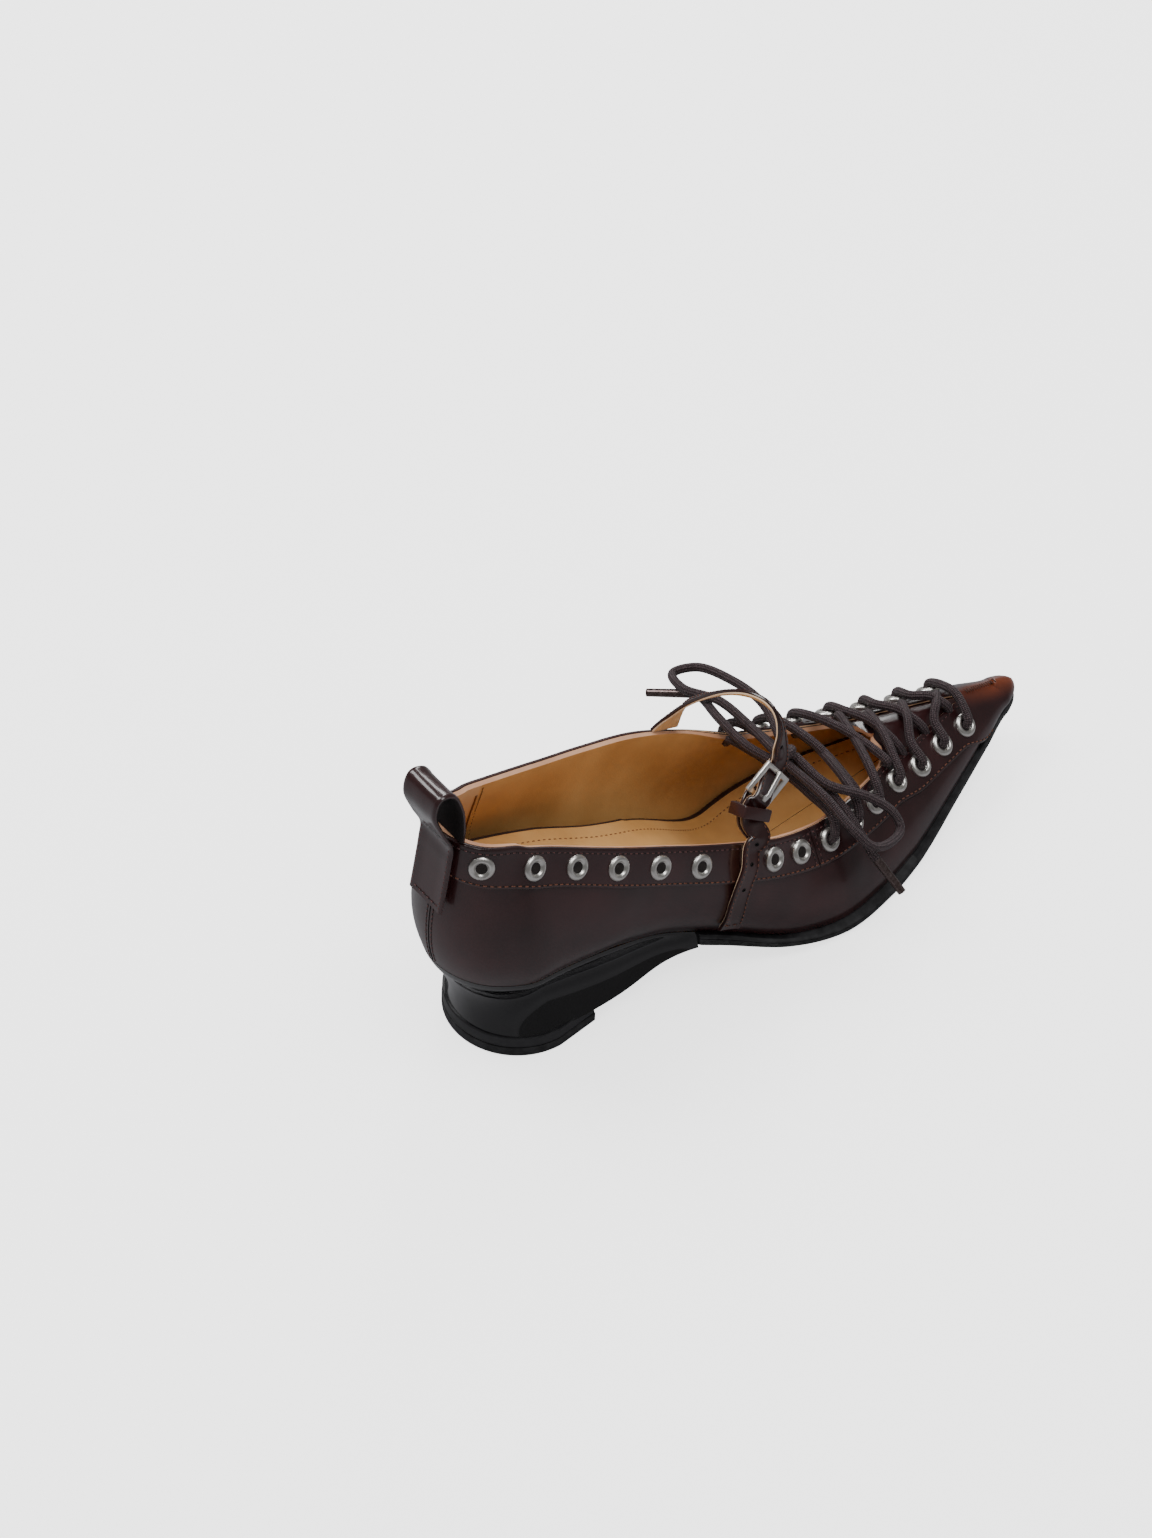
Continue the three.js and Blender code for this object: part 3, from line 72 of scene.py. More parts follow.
# ahead to the toe, to the inner side, and up, from the knot
FAR_LOOP = ((2.3, 3, 0.9), (9, 24, 3), (8.5, 42, 1.5), (4, 56, -0.5), (-4.5, 60, -2),
            (-7.5, 50, -0.5), (-2, 36, 1.2), (-1, 20, 1), (-2, 3, 1))
NEAR_LOOP = ((2.6, -2.5, 0.7), (6, -17, -4), (18, -27, -9.5), (25, -34, -16), (25.5, -38.5, -21),
             (16, -43, -19.5), (7.5, -43, -16), (2, -36, -8.5), (0, -24, -2.5), (-1.7, -3, -0.3))
FAR_END = ((-3.2, 1.8, -2.5), (-6.5, 14, -2), (-6, 31, -1.5), (-2, 46, -5), (-5, 54, -7.5),
           (-12.7, 64.5, -11))
NEAR_END = ((2.8, -2, -3), (6.5, -13, -6.8), (8.5, -26, -12), (9.5, -37, -20), (11, -45.5, -26.5),
            (14, -54.5, -34.5))


def smooth_path(points, f):
    """A point of the smooth curve through the points, from 0 at the first to 1 at the last."""
    pts = [np.asarray(p, float) for p in points]
    place = min(max(f, 0.0), 1.0) * (len(pts) - 1)
    k = min(int(place), len(pts) - 2)
    w = place - k
    p1, p2 = pts[k], pts[k + 1]
    p0 = pts[k - 1] if k > 0 else 2 * p1 - p2
    p3 = pts[k + 2] if k + 2 < len(pts) else 2 * p2 - p1
    d0, d1, d2 = (np.linalg.norm(b - a) ** 0.5 for a, b in ((p0, p1), (p1, p2), (p2, p3)))
    d1 = 1.0 if d1 < 1e-4 else d1
    d0, d2 = d1 if d0 < 1e-4 else d0, d1 if d2 < 1e-4 else d2
    t1 = ((p1 - p0) / d0 - (p2 - p0) / (d0 + d1) + (p2 - p1) / d1) * d1
    t2 = ((p2 - p1) / d1 - (p3 - p1) / (d1 + d2) + (p3 - p2) / d2) * d1
    return p1 + t1 * w + (-3 * p1 + 3 * p2 - 2 * t1 - t2) * w * w + (2 * p1 - 2 * p2 + t1 + t2) * w**3


def even_path(points, spacing):
    """The smooth curve through the points as points that lie evenly along it."""
    fine = np.array([smooth_path(points, k / 400) for k in range(401)])
    run = np.concatenate([[0], np.cumsum(np.linalg.norm(np.diff(fine, axis=0), axis=1))])
    at = np.linspace(0, run[-1], max(int(run[-1] / spacing), 2) + 1)
    return np.stack([np.interp(at, run, fine[:, k]) for k in range(3)], 1)


def put(name, verts, faces, body="root", smooth=True):
    """A mesh of millimetre points as a new piece in metres."""
    mesh = bpy.data.meshes.new(name)
    mesh.from_pydata([tuple(float(c) * MM for c in v) for v in verts], [], [tuple(f) for f in faces])
    mesh.validate()
    piece = bpy.data.objects.new(name, mesh)
    bpy.context.scene.collection.objects.link(piece)
    if smooth:
        mesh.polygons.foreach_set("use_smooth", [True] * len(mesh.polygons))
    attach(piece, body)
    return piece


def tube(points, radius, sides=14, closed_ends=True):
    """Points and faces of a round tube along a path, with its UV: along and round in millimetres."""
    pts = np.asarray(points, float)
    n = len(pts)
    ahead = np.gradient(pts, axis=0)
    ahead /= np.linalg.norm(ahead, axis=1)[:, None]
    side = np.cross(ahead[0], (0.13, 0.21, 0.97))
    verts, uvs = [], []
    run = np.concatenate([[0], np.cumsum(np.linalg.norm(np.diff(pts, axis=0), axis=1))])
    for k in range(n):
        side = side - ahead[k] * np.dot(side, ahead[k])
        side /= np.linalg.norm(side)
        up = np.cross(ahead[k], side)
        r = radius(run[k], run[-1]) if callable(radius) else radius
        for j in range(sides):
            a = 2 * math.pi * j / sides
            verts.append(pts[k] + r * (math.cos(a) * side + math.sin(a) * up))
            uvs.append((run[k], j / sides))
    faces = []
    for k in range(n - 1):
        for j in range(sides):
            m = (j + 1) % sides
            faces.append((k * sides + j, k * sides + m, (k + 1) * sides + m, (k + 1) * sides + j))
    if closed_ends:
        faces.append(tuple(range(sides - 1, -1, -1)))
        faces.append(tuple((n - 1) * sides + j for j in range(sides)))
    return verts, faces, uvs


def add_uv(piece, uvs):
    """Writes one UV per point; a face that passes the seam keeps its corners together."""
    layer = piece.data.uv_layers.new(name="along_round")
    for poly in piece.data.polygons:
        around = [uvs[v][1] for v in poly.vertices]
        wraps = max(around) - min(around) > 0.5 and len(poly.vertices) == 4
        for corner, v in zip(poly.loop_indices, poly.vertices):
            u, w = uvs[v]
            layer.data[corner].uv = (u, w + 1 if wraps and w < 0.5 else w)


def lace_tube(name, points, spacing=1.0, radius=LACE / 2):
    path = even_path(points, spacing)
    verts, faces, uvs = tube(path, radius)
    piece = put(name, verts, faces)
    add_uv(piece, uvs)
    return piece, path


def new_material(name):
    """An empty node material with its shader and output."""
    material = bpy.data.materials.new(name)
    material.use_nodes = True
    nodes, links = material.node_tree.nodes, material.node_tree.links
    shader = next(n for n in nodes if n.type == "BSDF_PRINCIPLED")
    return material, nodes, links, shader


def ramp_between(nodes, links, factor, low, high, start=0.0, end=1.0):
    """A colour that turns from low to high as the factor goes from start to end."""
    ramp = nodes.new("ShaderNodeValToRGB")
    ramp.color_ramp.elements[0].position, ramp.color_ramp.elements[0].color = start, (*low, 1)
    ramp.color_ramp.elements[1].position, ramp.color_ramp.elements[1].color = end, (*high, 1)
    links.new(factor, ramp.inputs["Fac"])
    return ramp.outputs["Color"]


def number(nodes, links, operation, a, b=None):
    math_node = nodes.new("ShaderNodeMath")
    math_node.operation = operation
    for socket, value in zip(math_node.inputs, (a, b)):
        if isinstance(value, (int, float)):
            socket.default_value = value
        elif value is not None:
            links.new(value, socket)
    return math_node.outputs[0]


# The braid shows as slanting plaits, with pale specks of wax on a purple brown cord.
lace_material, nodes, links, shader = new_material("waxed_lace")
uv = nodes.new("ShaderNodeUVMap")
uv.uv_map = "along_round"
split = nodes.new("ShaderNodeSeparateXYZ")
links.new(uv.outputs["UV"], split.inputs[0])
slant = number(nodes, links, "MULTIPLY", split.outputs[0], 0.72)
round_turns = number(nodes, links, "MULTIPLY", split.outputs[1], 5.0)
one_way = number(nodes, links, "SINE", number(nodes, links, "MULTIPLY",
    number(nodes, links, "ADD", slant, round_turns), math.tau))
other_way = number(nodes, links, "SINE", number(nodes, links, "MULTIPLY",
    number(nodes, links, "SUBTRACT", slant, round_turns), math.tau))
braid = number(nodes, links, "MULTIPLY", one_way, other_way)
place = nodes.new("ShaderNodeTexCoord")
specks = nodes.new("ShaderNodeTexNoise")
specks.inputs["Scale"].default_value = 2600
specks.inputs["Detail"].default_value = 3
links.new(place.outputs["Object"], specks.inputs["Vector"])
lit = number(nodes, links, "ADD", number(nodes, links, "MULTIPLY", braid, 0.16), specks.outputs["Fac"])
links.new(ramp_between(nodes, links, lit, (0.018, 0.0075, 0.0100), (0.115, 0.068, 0.075), 0.48, 0.86),
    shader.inputs["Base Color"])
bump = nodes.new("ShaderNodeBump")
bump.inputs["Strength"].default_value = 0.7
bump.inputs["Distance"].default_value = 0.00035
links.new(number(nodes, links, "ADD", braid, number(nodes, links, "MULTIPLY", specks.outputs["Fac"], 0.8)),
    bump.inputs["Height"])
links.new(bump.outputs["Normal"], shader.inputs["Normal"])
shader.inputs["Roughness"].default_value = 0.55
shader.inputs["Sheen Weight"].default_value = 0.05

loops = {}
for name, table in (("far", FAR_LOOP), ("near", NEAR_LOOP)):
    points = [KNOT + np.array(p) for p in table]
    piece, path = lace_tube("bow_loop_" + name, points)
    loops[name] = (piece, path)
ends = {}
for name, table in (("far", FAR_END), ("near", NEAR_END)):
    points = [KNOT + np.array(p) for p in table]
    way = points[-1] - points[-2]
    way /= np.linalg.norm(way)
    foot = points[-1] - AGLET_LENGTH * way
    piece, path = lace_tube("bow_end_" + name, [*points[:-2], foot - 0.9 * way, foot + 1.2 * way])
    ends[name] = (piece, path, foot, way)

# Knot: the cord passes twice round itself before the loops leave it.
turns = []
for k in range(49):
    a = 2 * math.pi * 1.75 * k / 48
    turns.append(KNOT + np.array((2.7 * math.cos(a) - 0.4, -2.6 + 5.2 * k / 48, 2.4 * math.sin(a))))
wrap, _ = lace_tube("bow_knot", turns, 0.7)
across = [KNOT + np.array(p) for p in ((-3.4, 1.6, -1.8), (-2.6, -1.2, 2.2), (1.6, -1.6, 2.9),
    (3.4, 1.2, 0.6), (2.2, 2.6, -2.2))]
inner_turn, _ = lace_tube("bow_knot_strand", across, 0.7)

# Metal tips: thin rolled tubes, a little open at the end.
aglet_material, nodes, links, shader = new_material("dark_tip_metal")
place = nodes.new("ShaderNodeTexCoord")
wear = nodes.new("ShaderNodeTexNoise")
wear.inputs["Scale"].default_value = 900
links.new(place.outputs["Object"], wear.inputs["Vector"])
links.new(ramp_between(nodes, links, wear.outputs["Fac"], (0.12, 0.085, 0.08), (0.22, 0.17, 0.165), 0.35,
    0.75), shader.inputs["Base Color"])
shader.inputs["Metallic"].default_value = 0.9
links.new(number(nodes, links, "ADD", number(nodes, links, "MULTIPLY", wear.outputs["Fac"], 0.25), 0.15),
    shader.inputs["Roughness"])
tips = {}
for name in ("far", "near"):
    _, _, foot, way = ends[name]
    line = [foot + way * s for s in np.linspace(0, AGLET_LENGTH, 30)]
    profile = lambda run, total: 1.72 - 0.16 * min(run / total, 1) - (0.1 if run < 0.7 else 0)
    verts, faces, _ = tube(line, profile, 20, closed_ends=False)
    inside, lids, _ = tube([foot + way * s for s in (AGLET_LENGTH, AGLET_LENGTH - 2.5)], 1.2, 20,
        closed_ends=False)
    base = len(verts)
    faces += [tuple(i + base for i in f) for f in lids]
    faces += [(base - 20 + j, base - 20 + (j + 1) % 20, base + (j + 1) % 20, base + j) for j in range(20)]
    faces.append(tuple(base + 20 + j for j in range(20)))
    verts += inside
    faces.append(tuple(range(19, -1, -1)))
    tips[name] = put("lace_tip_" + name, verts, faces)
    tips[name].data.materials.append(aglet_material)
    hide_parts("aglet_" + name)

for name in ("far", "near"):
    piece, path = loops[name]
    piece.data.materials.append(lace_material)
    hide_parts("lace_loop_" + name)
    piece, path, _, _ = ends[name]
    piece.data.materials.append(lace_material)
    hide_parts("lace_end_" + name)
for piece in (wrap, inner_turn):
    piece.data.materials.append(lace_material)
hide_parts("lace_knot")

# Upper: one wall of polished burgundy box leather with a tan calf lining, lasted to a
# pointed toe and closed by a seam up the back. The rows below are sections round the last.
SHOE_LENGTH, BACK_OVERHANG, BALL_WIDTH, BACK_HEIGHT = 276.0, 38.0, 86.0, 63.0
SEAT_HEIGHT, TOE_SPRING, SOLE_THICKNESS, WALL = 44.0, 20.0, 5.0, 1.8
OUTER, INNER = -1, 1
# along, turn, foot, belly, belly up, chest, chest up, rim, rim up, ahead
HALF = {OUTER: np.array((
    (0.116, -90, 0.362, 0.388, 0.2, 0.366, 0.58, 0.322, 1.0, 0),
    (0.116, -60, 0.356, 0.386, 0.21, 0.354, 0.58, 0.282, 0.985, 0),
    (0.116, -30, 0.342, 0.379, 0.22, 0.327, 0.56, 0.216, 0.94, 0),
    (0.116, 0, 0.322, 0.37, 0.25, 0.312, 0.55, 0.2, 0.88, 0),
    (0.215, 0, 0.295, 0.365, 0.27, 0.318, 0.53, 0.242, 0.765, 0),
    (0.305, 0, 0.27, 0.362, 0.28, 0.342, 0.53, 0.28, 0.735, 0),
    (0.395, 0, 0.33, 0.405, 0.23, 0.388, 0.48, 0.312, 0.71, 0),
    (0.485, 0, 0.455, 0.475, 0.15, 0.42, 0.39, 0.322, 0.655, 0),
    (0.575, 0, 0.495, 0.5, 0.09, 0.412, 0.36, 0.288, 0.59, 0),
    (0.66, 0, 0.448, 0.453, 0.075, 0.352, 0.33, 0.212, 0.53, 0),
    (0.715, 0, 0.4, 0.404, 0.075, 0.3, 0.315, 0.15, 0.495, 0),
    (0.745, 0, 0.366, 0.37, 0.075, 0.262, 0.305, 0.085, 0.487, -0.01),
    (0.775, 0, 0.328, 0.332, 0.07, 0.222, 0.29, 0, 0.476, -0.032),
    (0.82, 0, 0.268, 0.271, 0.065, 0.168, 0.26, 0, 0.41, -0.02),
    (0.87, 0, 0.202, 0.204, 0.06, 0.122, 0.21, 0, 0.32, -0.008),
    (0.92, 0, 0.134, 0.136, 0.05, 0.084, 0.14, 0, 0.21, 0),
    (0.965, 0, 0.07, 0.073, 0.035, 0.048, 0.078, 0, 0.11, 0),
    (0.965, 45, 0.074, 0.078, 0.03, 0.052, 0.072, 0, 0.11, 0),
    (0.965, 90, 0.108, 0.112, 0.03, 0.074, 0.068, 0, 0.11, 0))),
    INNER: np.array((
    (0.116, -90, 0.362, 0.388, 0.2, 0.366, 0.58, 0.322, 1.0, 0),
    (0.116, -60, 0.356, 0.386, 0.21, 0.354, 0.58, 0.282, 0.985, 0),
    (0.116, -30, 0.342, 0.379, 0.22, 0.327, 0.56, 0.216, 0.94, 0),
    (0.116, 0, 0.315, 0.368, 0.25, 0.314, 0.56, 0.22, 0.9, 0),
    (0.215, 0, 0.27, 0.352, 0.29, 0.325, 0.57, 0.27, 0.84, 0),
    (0.305, 0, 0.225, 0.33, 0.31, 0.342, 0.58, 0.31, 0.85, 0),
    (0.395, 0, 0.245, 0.352, 0.29, 0.365, 0.58, 0.325, 0.88, 0),
    (0.485, 0, 0.33, 0.4, 0.19, 0.375, 0.48, 0.33, 0.8, 0),
    (0.575, 0, 0.41, 0.435, 0.12, 0.392, 0.42, 0.29, 0.64, 0),
    (0.66, 0, 0.42, 0.432, 0.09, 0.368, 0.38, 0.214, 0.56, 0),
    (0.715, 0, 0.39, 0.398, 0.085, 0.322, 0.36, 0.152, 0.51, 0),
    (0.745, 0, 0.36, 0.366, 0.08, 0.288, 0.345, 0.085, 0.487, -0.01),
    (0.775, 0, 0.325, 0.33, 0.08, 0.25, 0.325, 0, 0.476, -0.032),
    (0.82, 0, 0.268, 0.272, 0.075, 0.192, 0.285, 0, 0.41, -0.02),
    (0.87, 0, 0.202, 0.205, 0.065, 0.14, 0.225, 0, 0.32, -0.008),
    (0.92, 0, 0.134, 0.137, 0.05, 0.094, 0.155, 0, 0.21, 0),
    (0.965, 0, 0.07, 0.073, 0.035, 0.048, 0.078, 0, 0.11, 0),
    (0.965, 45, 0.074, 0.078, 0.03, 0.052, 0.072, 0, 0.11, 0),
    (0.965, 90, 0.108, 0.112, 0.03, 0.074, 0.068, 0, 0.11, 0)))}
LAST_ROW, TOE_ROW = 18, 16
# along, heel, spring: the height of the edge where upper and sole meet
FEATHER = np.array(((0, 1.03, 0), (0.11, 0.98, 0), (0.21, 0.81, 0), (0.3, 0.56, 0), (0.39, 0.3, 0),
                    (0.48, 0.1, 0), (0.57, 0, 0), (0.66, 0, 0), (0.74, 0, 0.13), (0.83, 0, 0.4),
                    (0.92, 0, 0.72), (1, 0, 1)))


def row_values(table, row):
    """All columns of a table at a fractional row, on a smooth curve."""
    last = len(table) - 1
    i = min(max(int(math.floor(row)), 0), last - 1)
    f = row - i
    a, b, c, d = (table[min(max(k, 0), last)] for k in (i - 1, i, i + 1, i + 2))
    return b + 0.5 * f * (c - a + f * (2 * a - 5 * b + 4 * c - d + f * (3 * (b - c) + d - a)))


def feather_height(x):
    share = (x + BACK_OVERHANG) / SHOE_LENGTH
    at = float(np.interp(share, FEATHER[:, 0], np.arange(len(FEATHER))))
    _, heel, spring = row_values(FEATHER, at)
    return SOLE_THICKNESS + max(heel, 0) * (SEAT_HEIGHT - SOLE_THICKNESS) + max(spring, 0) * TOE_SPRING


def last_points(side, row, t):
    """Points of the last's skin: a row round the shoe, t from the feather line, 0, to the rim, 1."""
    t = np.atleast_1d(np.asarray(t, float))
    along, turn, foot, belly, belly_up, chest, chest_up, rim, rim_up, lead = row_values(HALF[side], row)
    angle = math.radians(turn)
    centre = along * SHOE_LENGTH - BACK_OVERHANG
    outs = np.array((foot, belly, chest, max(rim, 0)))
    ups = np.array((0, belly_up, chest_up, rim_up))
    knots = np.concatenate([[0], np.cumsum(np.hypot(np.diff(outs), np.diff(ups)))])
    knots /= knots[-1]
    weights = np.ones((4, len(t)))
    for k in range(4):
        for n in range(4):
            if n != k:
                weights[k] *= (t - knots[n]) / (knots[k] - knots[n])
    out = outs @ weights * BALL_WIDTH
    base = feather_height(centre + foot * BALL_WIDTH * math.sin(angle))
    flat = 0 if abs(abs(turn) - 90) < 1e-9 else 1
    return np.stack([centre + out * math.sin(angle) + lead * SHOE_LENGTH * t * t,
                     side * np.abs(out * math.cos(angle)) * flat,
                     base + ups @ weights * BACK_HEIGHT], 1)


def last_normals(side, row, t):
    t = np.atleast_1d(np.asarray(t, float))
    along_row = last_points(side, min(row + 0.02, LAST_ROW), t) - last_points(side, max(row - 0.02, 0), t)
    up_wall = last_points(side, row, np.minimum(t + 0.02, 1)) - last_points(side, row,
        np.maximum(t - 0.02, 0))
    normals = -side * np.cross(along_row, up_wall)
    if row in (0, LAST_ROW):
        normals[:, 1] = 0
    return normals / np.linalg.norm(normals, axis=1)[:, None]


def ease(f):
    c = min(max(f, 0.0), 1.0)
    return c * c * (3 - 2 * c)


def skin(side, row, t, lift):
    """The last's skin lifted by a length, or by one for each point."""
    t = np.atleast_1d(np.asarray(t, float))
    lift = np.broadcast_to(np.asarray(lift, float), t.shape)
    points, normals = last_points(side, row, t), last_normals(side, row, t)
    level = t < 1e-9
    normals[level, 2] = 0
    normals[level] /= np.maximum(np.linalg.norm(normals[level], axis=1), 1e-9)[:, None]
    made = points + normals * lift[:, None]
    if row > 10 and row_values(HALF[side], row)[7] < 1e-4:
        top = t > 1 - 1e-9
        dip = 1.3 * ease(row - 15)
        made[top] = points[top]
        made[top, 2] += 1.4 * lift[top] - np.where(lift[top] <= 0, dip, 0)
        near = (t > 0.93) & ~top
        made[near, 2] -= np.where(lift[near] <= 0, dip * (t[near] - 0.93) / 0.07, 0)
    return made


def wall_length(side, row, low, high):
    points = last_points(side, row, np.linspace(low, high, 17))
    return float(np.linalg.norm(np.diff(points, axis=0), axis=1).sum())


def level_below(side, row, high, length):
    low, top = 0.0, high
    for _ in range(14):
        middle = (low + top) / 2
        if wall_length(side, row, middle, high) > length:
            low = middle
        else:
            top = middle
    return (low + top) / 2


def edge_level(side, row):
    """The facing's inner edge: the throat's rim, and ahead of it a line to where both meet."""
    start, meet = 200 - BACK_OVERHANG, 250 - BACK_OVERHANG

    def spare(t):
        p = last_points(side, row, t)[0]
        return abs(p[1]) - 12.5 * (meet - p[0]) / (meet - start)

    if last_points(side, row, 1)[0][0] <= start - 4 or spare(1) >= 0:
        return 1.0
    low, high = 0.4, 1.0
    for _ in range(16):
        middle = (low + high) / 2
        if spare(middle) > 0:
            low = middle
        else:
            high = middle
    return (low + high) / 2


def band_level(side, row, edge):
    level = level_below(side, row, edge, 16)
    x = last_points(side, row, level)[0][0]
    return level * (1 - ease((x - (238 - BACK_OVERHANG)) / 21))


def row_at(side, x, t):
    low, high = 0.0, float(TOE_ROW)
    for _ in range(24):
        middle = (low + high) / 2
        if last_points(side, middle, t)[0][0] < x:
            low = middle
        else:
            high = middle
    return (low + high) / 2


ROWS = [round(k / 8, 4) for k in range(8 * LAST_ROW + 1)]
EDGE = {side: {row: edge_level(side, row) for row in ROWS} for side in (OUTER, INNER)}
BAND = {side: {row: band_level(side, row, EDGE[side][row]) for row in ROWS} for side in (OUTER, INNER)}
# The whole way round: outer half to the tip of the toe, then back along the inner half.
RING = [(OUTER, row) for row in ROWS] + [(INNER, row) for row in ROWS[-2:0:-1]]


def soft_folds(point, side):
    """The few soft creases of the wall: where the quarter bends at the waist and the vamp flexes."""
    x, y, z = point
    depth = 0.0
    for middle, width, slope, deep, low, high in ((30, 7, 0.35, 0.35, 30, 66), (64, 6, -0.3, 0.3, 14, 44),
                                                  (100, 5, 0.5, 0.22, 10, 34), (136, 5, 0.45, 0.3, 10, 30)):
        away = (x - middle - slope * (z - (low + high) / 2)) / width
        depth += deep * math.exp(-away * away) * ease((z - low) / 8) * ease((high - z) / 8)
    return depth


def wall_grid(lift, levels_of, folds=True):
    grid = []
    for side, row in RING:
        t = levels_of(side, row)
        points = skin(side, row, t, lift)
        if folds:
            normals = last_normals(side, row, t)
            points -= normals * np.array([soft_folds(p, side) for p in points])[:, None]
        grid.append(points)
    return grid


def wall_levels(side, row):
    band, edge = BAND[side][row], EDGE[side][row]
    return np.concatenate([np.linspace(0, band, 15), np.linspace(band, edge, 9)[1:],
        np.linspace(edge, 1, 5)[1:]])


outer_grid = wall_grid(0, wall_levels)
inner_grid = wall_grid(-WALL, wall_levels, folds=False)
count, high = len(RING), len(outer_grid[0])
verts = [p for column in outer_grid for p in column] + [p for column in inner_grid for p in column]
shift = count * high
faces, kinds = [], []


def closed_ridge(i):
    side, row = RING[i]
    return row > 10 and row_values(HALF[side], row)[7] < 1e-4


for i in range(count):
    k = (i + 1) % count
    for j in range(high - 1):
        faces.append((i * high + j, k * high + j, k * high + j + 1, i * high + j + 1))
        kinds.append(0)
        faces.append((shift + k * high + j, shift + i * high + j, shift + i * high + j + 1,
            shift + k * high + j + 1))
        kinds.append(1)
    if not (closed_ridge(i) and closed_ridge(k)):
        faces.append((i * high + high - 1, k * high + high - 1, shift + k * high + high - 1,
            shift + i * high + high - 1))
        kinds.append(2)
    faces.append((shift + i * high, shift + k * high, k * high, i * high))
    kinds.append(1)
upper = put("upper_leather", verts, faces)
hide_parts("upper")
upper.data.polygons.foreach_set("material_index", kinds)


def select_only(piece):
    bpy.ops.object.select_all(action="DESELECT")
    piece.hide_set(False)
    piece.select_set(True)
    bpy.context.view_layer.objects.active = piece


def weld(piece, distance=0.00001):
    select_only(piece)
    bpy.ops.object.mode_set(mode="EDIT")
    bpy.ops.mesh.select_all(action="SELECT")
    bpy.ops.mesh.remove_doubles(threshold=distance)
    bpy.ops.object.mode_set(mode="OBJECT")


def face_outwards(piece):
    select_only(piece)
    bpy.ops.object.mode_set(mode="EDIT")
    bpy.ops.mesh.select_all(action="SELECT")
    bpy.ops.mesh.normals_make_consistent(inside=False)
    bpy.ops.object.mode_set(mode="OBJECT")


def sharp_over(piece, degrees):
    select_only(piece)
    bpy.ops.object.shade_smooth_by_angle(angle=math.radians(degrees))


weld(upper)
sharp_over(upper, 50)


def node_group(name, ins, outs):
    """An empty shader node group with named inputs and outputs."""
    group = bpy.data.node_groups.new(name, "ShaderNodeTree")
    for label, kind, value in ins:
        socket = group.interface.new_socket(label, in_out="INPUT", socket_type=kind)
        if value is not None:
            socket.default_value = value
    for label, kind in outs:
        group.interface.new_socket(label, in_out="OUTPUT", socket_type=kind)
    return group, group.nodes.new("NodeGroupInput"), group.nodes.new("NodeGroupOutput")


# Grain: fine pores of box calf and the slow change of tone that polish leaves.
grain, enter, leave = node_group("calf_grain", (("Size", "NodeSocketFloat", 1800.0),),
                                 (("Pores", "NodeSocketFloat"), ("Tone", "NodeSocketFloat")))
place = grain.nodes.new("ShaderNodeTexCoord")
cells = grain.nodes.new("ShaderNodeTexVoronoi")
cells.feature = "DISTANCE_TO_EDGE"
grain.links.new(place.outputs["Object"], cells.inputs["Vector"])
grain.links.new(enter.outputs["Size"], cells.inputs["Scale"])
cloud = grain.nodes.new("ShaderNodeTexNoise")
cloud.inputs["Scale"].default_value = 45
cloud.inputs["Detail"].default_value = 5
grain.links.new(place.outputs["Object"], cloud.inputs["Vector"])
grain.links.new(number(grain.nodes, grain.links, "MINIMUM", cells.outputs["Distance"], 0.22),
    leave.inputs["Pores"])
grain.links.new(cloud.outputs["Fac"], leave.inputs["Tone"])


def leather(name, dark, light, size=1800.0, pores=0.35, coat=0.6, rough=(0.26, 0.4), coat_rough=0.1):
    """Leather with pores and tone. Returns the material and what its later steps add to."""
    material, nodes, links, shader = new_material(name)
    calf = nodes.new("ShaderNodeGroup")
    calf.node_tree = grain
    calf.inputs["Size"].default_value = size
    colour = ramp_between(nodes, links, calf.outputs["Tone"], dark, light, 0.32, 0.7)
    links.new(colour, shader.inputs["Base Color"])
    spread = number(nodes, links, "MULTIPLY", calf.outputs["Tone"], rough[1] - rough[0])
    links.new(number(nodes, links, "ADD", spread, rough[0]), shader.inputs["Roughness"])
    bump = nodes.new("ShaderNodeBump")
    bump.inputs["Strength"].default_value = pores
    bump.inputs["Distance"].default_value = 0.00012
    links.new(calf.outputs["Pores"], bump.inputs["Height"])
    links.new(bump.outputs["Normal"], shader.inputs["Normal"])
    shader.inputs["Coat Weight"].default_value = coat
    shader.inputs["Coat Roughness"].default_value = coat_rough
    return material, nodes, links, shader, colour, bump


def stain(nodes, links, shader, colour, mask, tint):
    """Mixes a tint over the colour so far where the mask is one."""
    mix = nodes.new("ShaderNodeMix")
    mix.data_type = "RGBA"
    links.new(mask, mix.inputs[0])
    links.new(colour, mix.inputs[6])
    mix.inputs[7].default_value = (*tint, 1)
    links.new(mix.outputs[2], shader.inputs["Base Color"])
    return mix.outputs[2]


def object_axis(nodes, links, axis):
    place = nodes.new("ShaderNodeTexCoord")
    split = nodes.new("ShaderNodeSeparateXYZ")
    links.new(place.outputs["Object"], split.inputs[0])
    return split.outputs[axis]


def span_mask(nodes, links, value, start, end):
    """0 at start and 1 at end, smooth between."""
    span = nodes.new("ShaderNodeMapRange")
    span.interpolation_type = "SMOOTHSTEP"
    span.inputs["From Min"].default_value = start
    span.inputs["From Max"].default_value = end
    links.new(value, span.inputs["Value"])
    return span.outputs["Result"]


BURGUNDY_DARK, BURGUNDY_LIGHT = (0.013, 0.0028, 0.0031), (0.030, 0.0062, 0.0068)
burgundy, nodes, links, shader, colour, _ = leather("burgundy_box_leather", BURGUNDY_DARK, BURGUNDY_LIGHT)


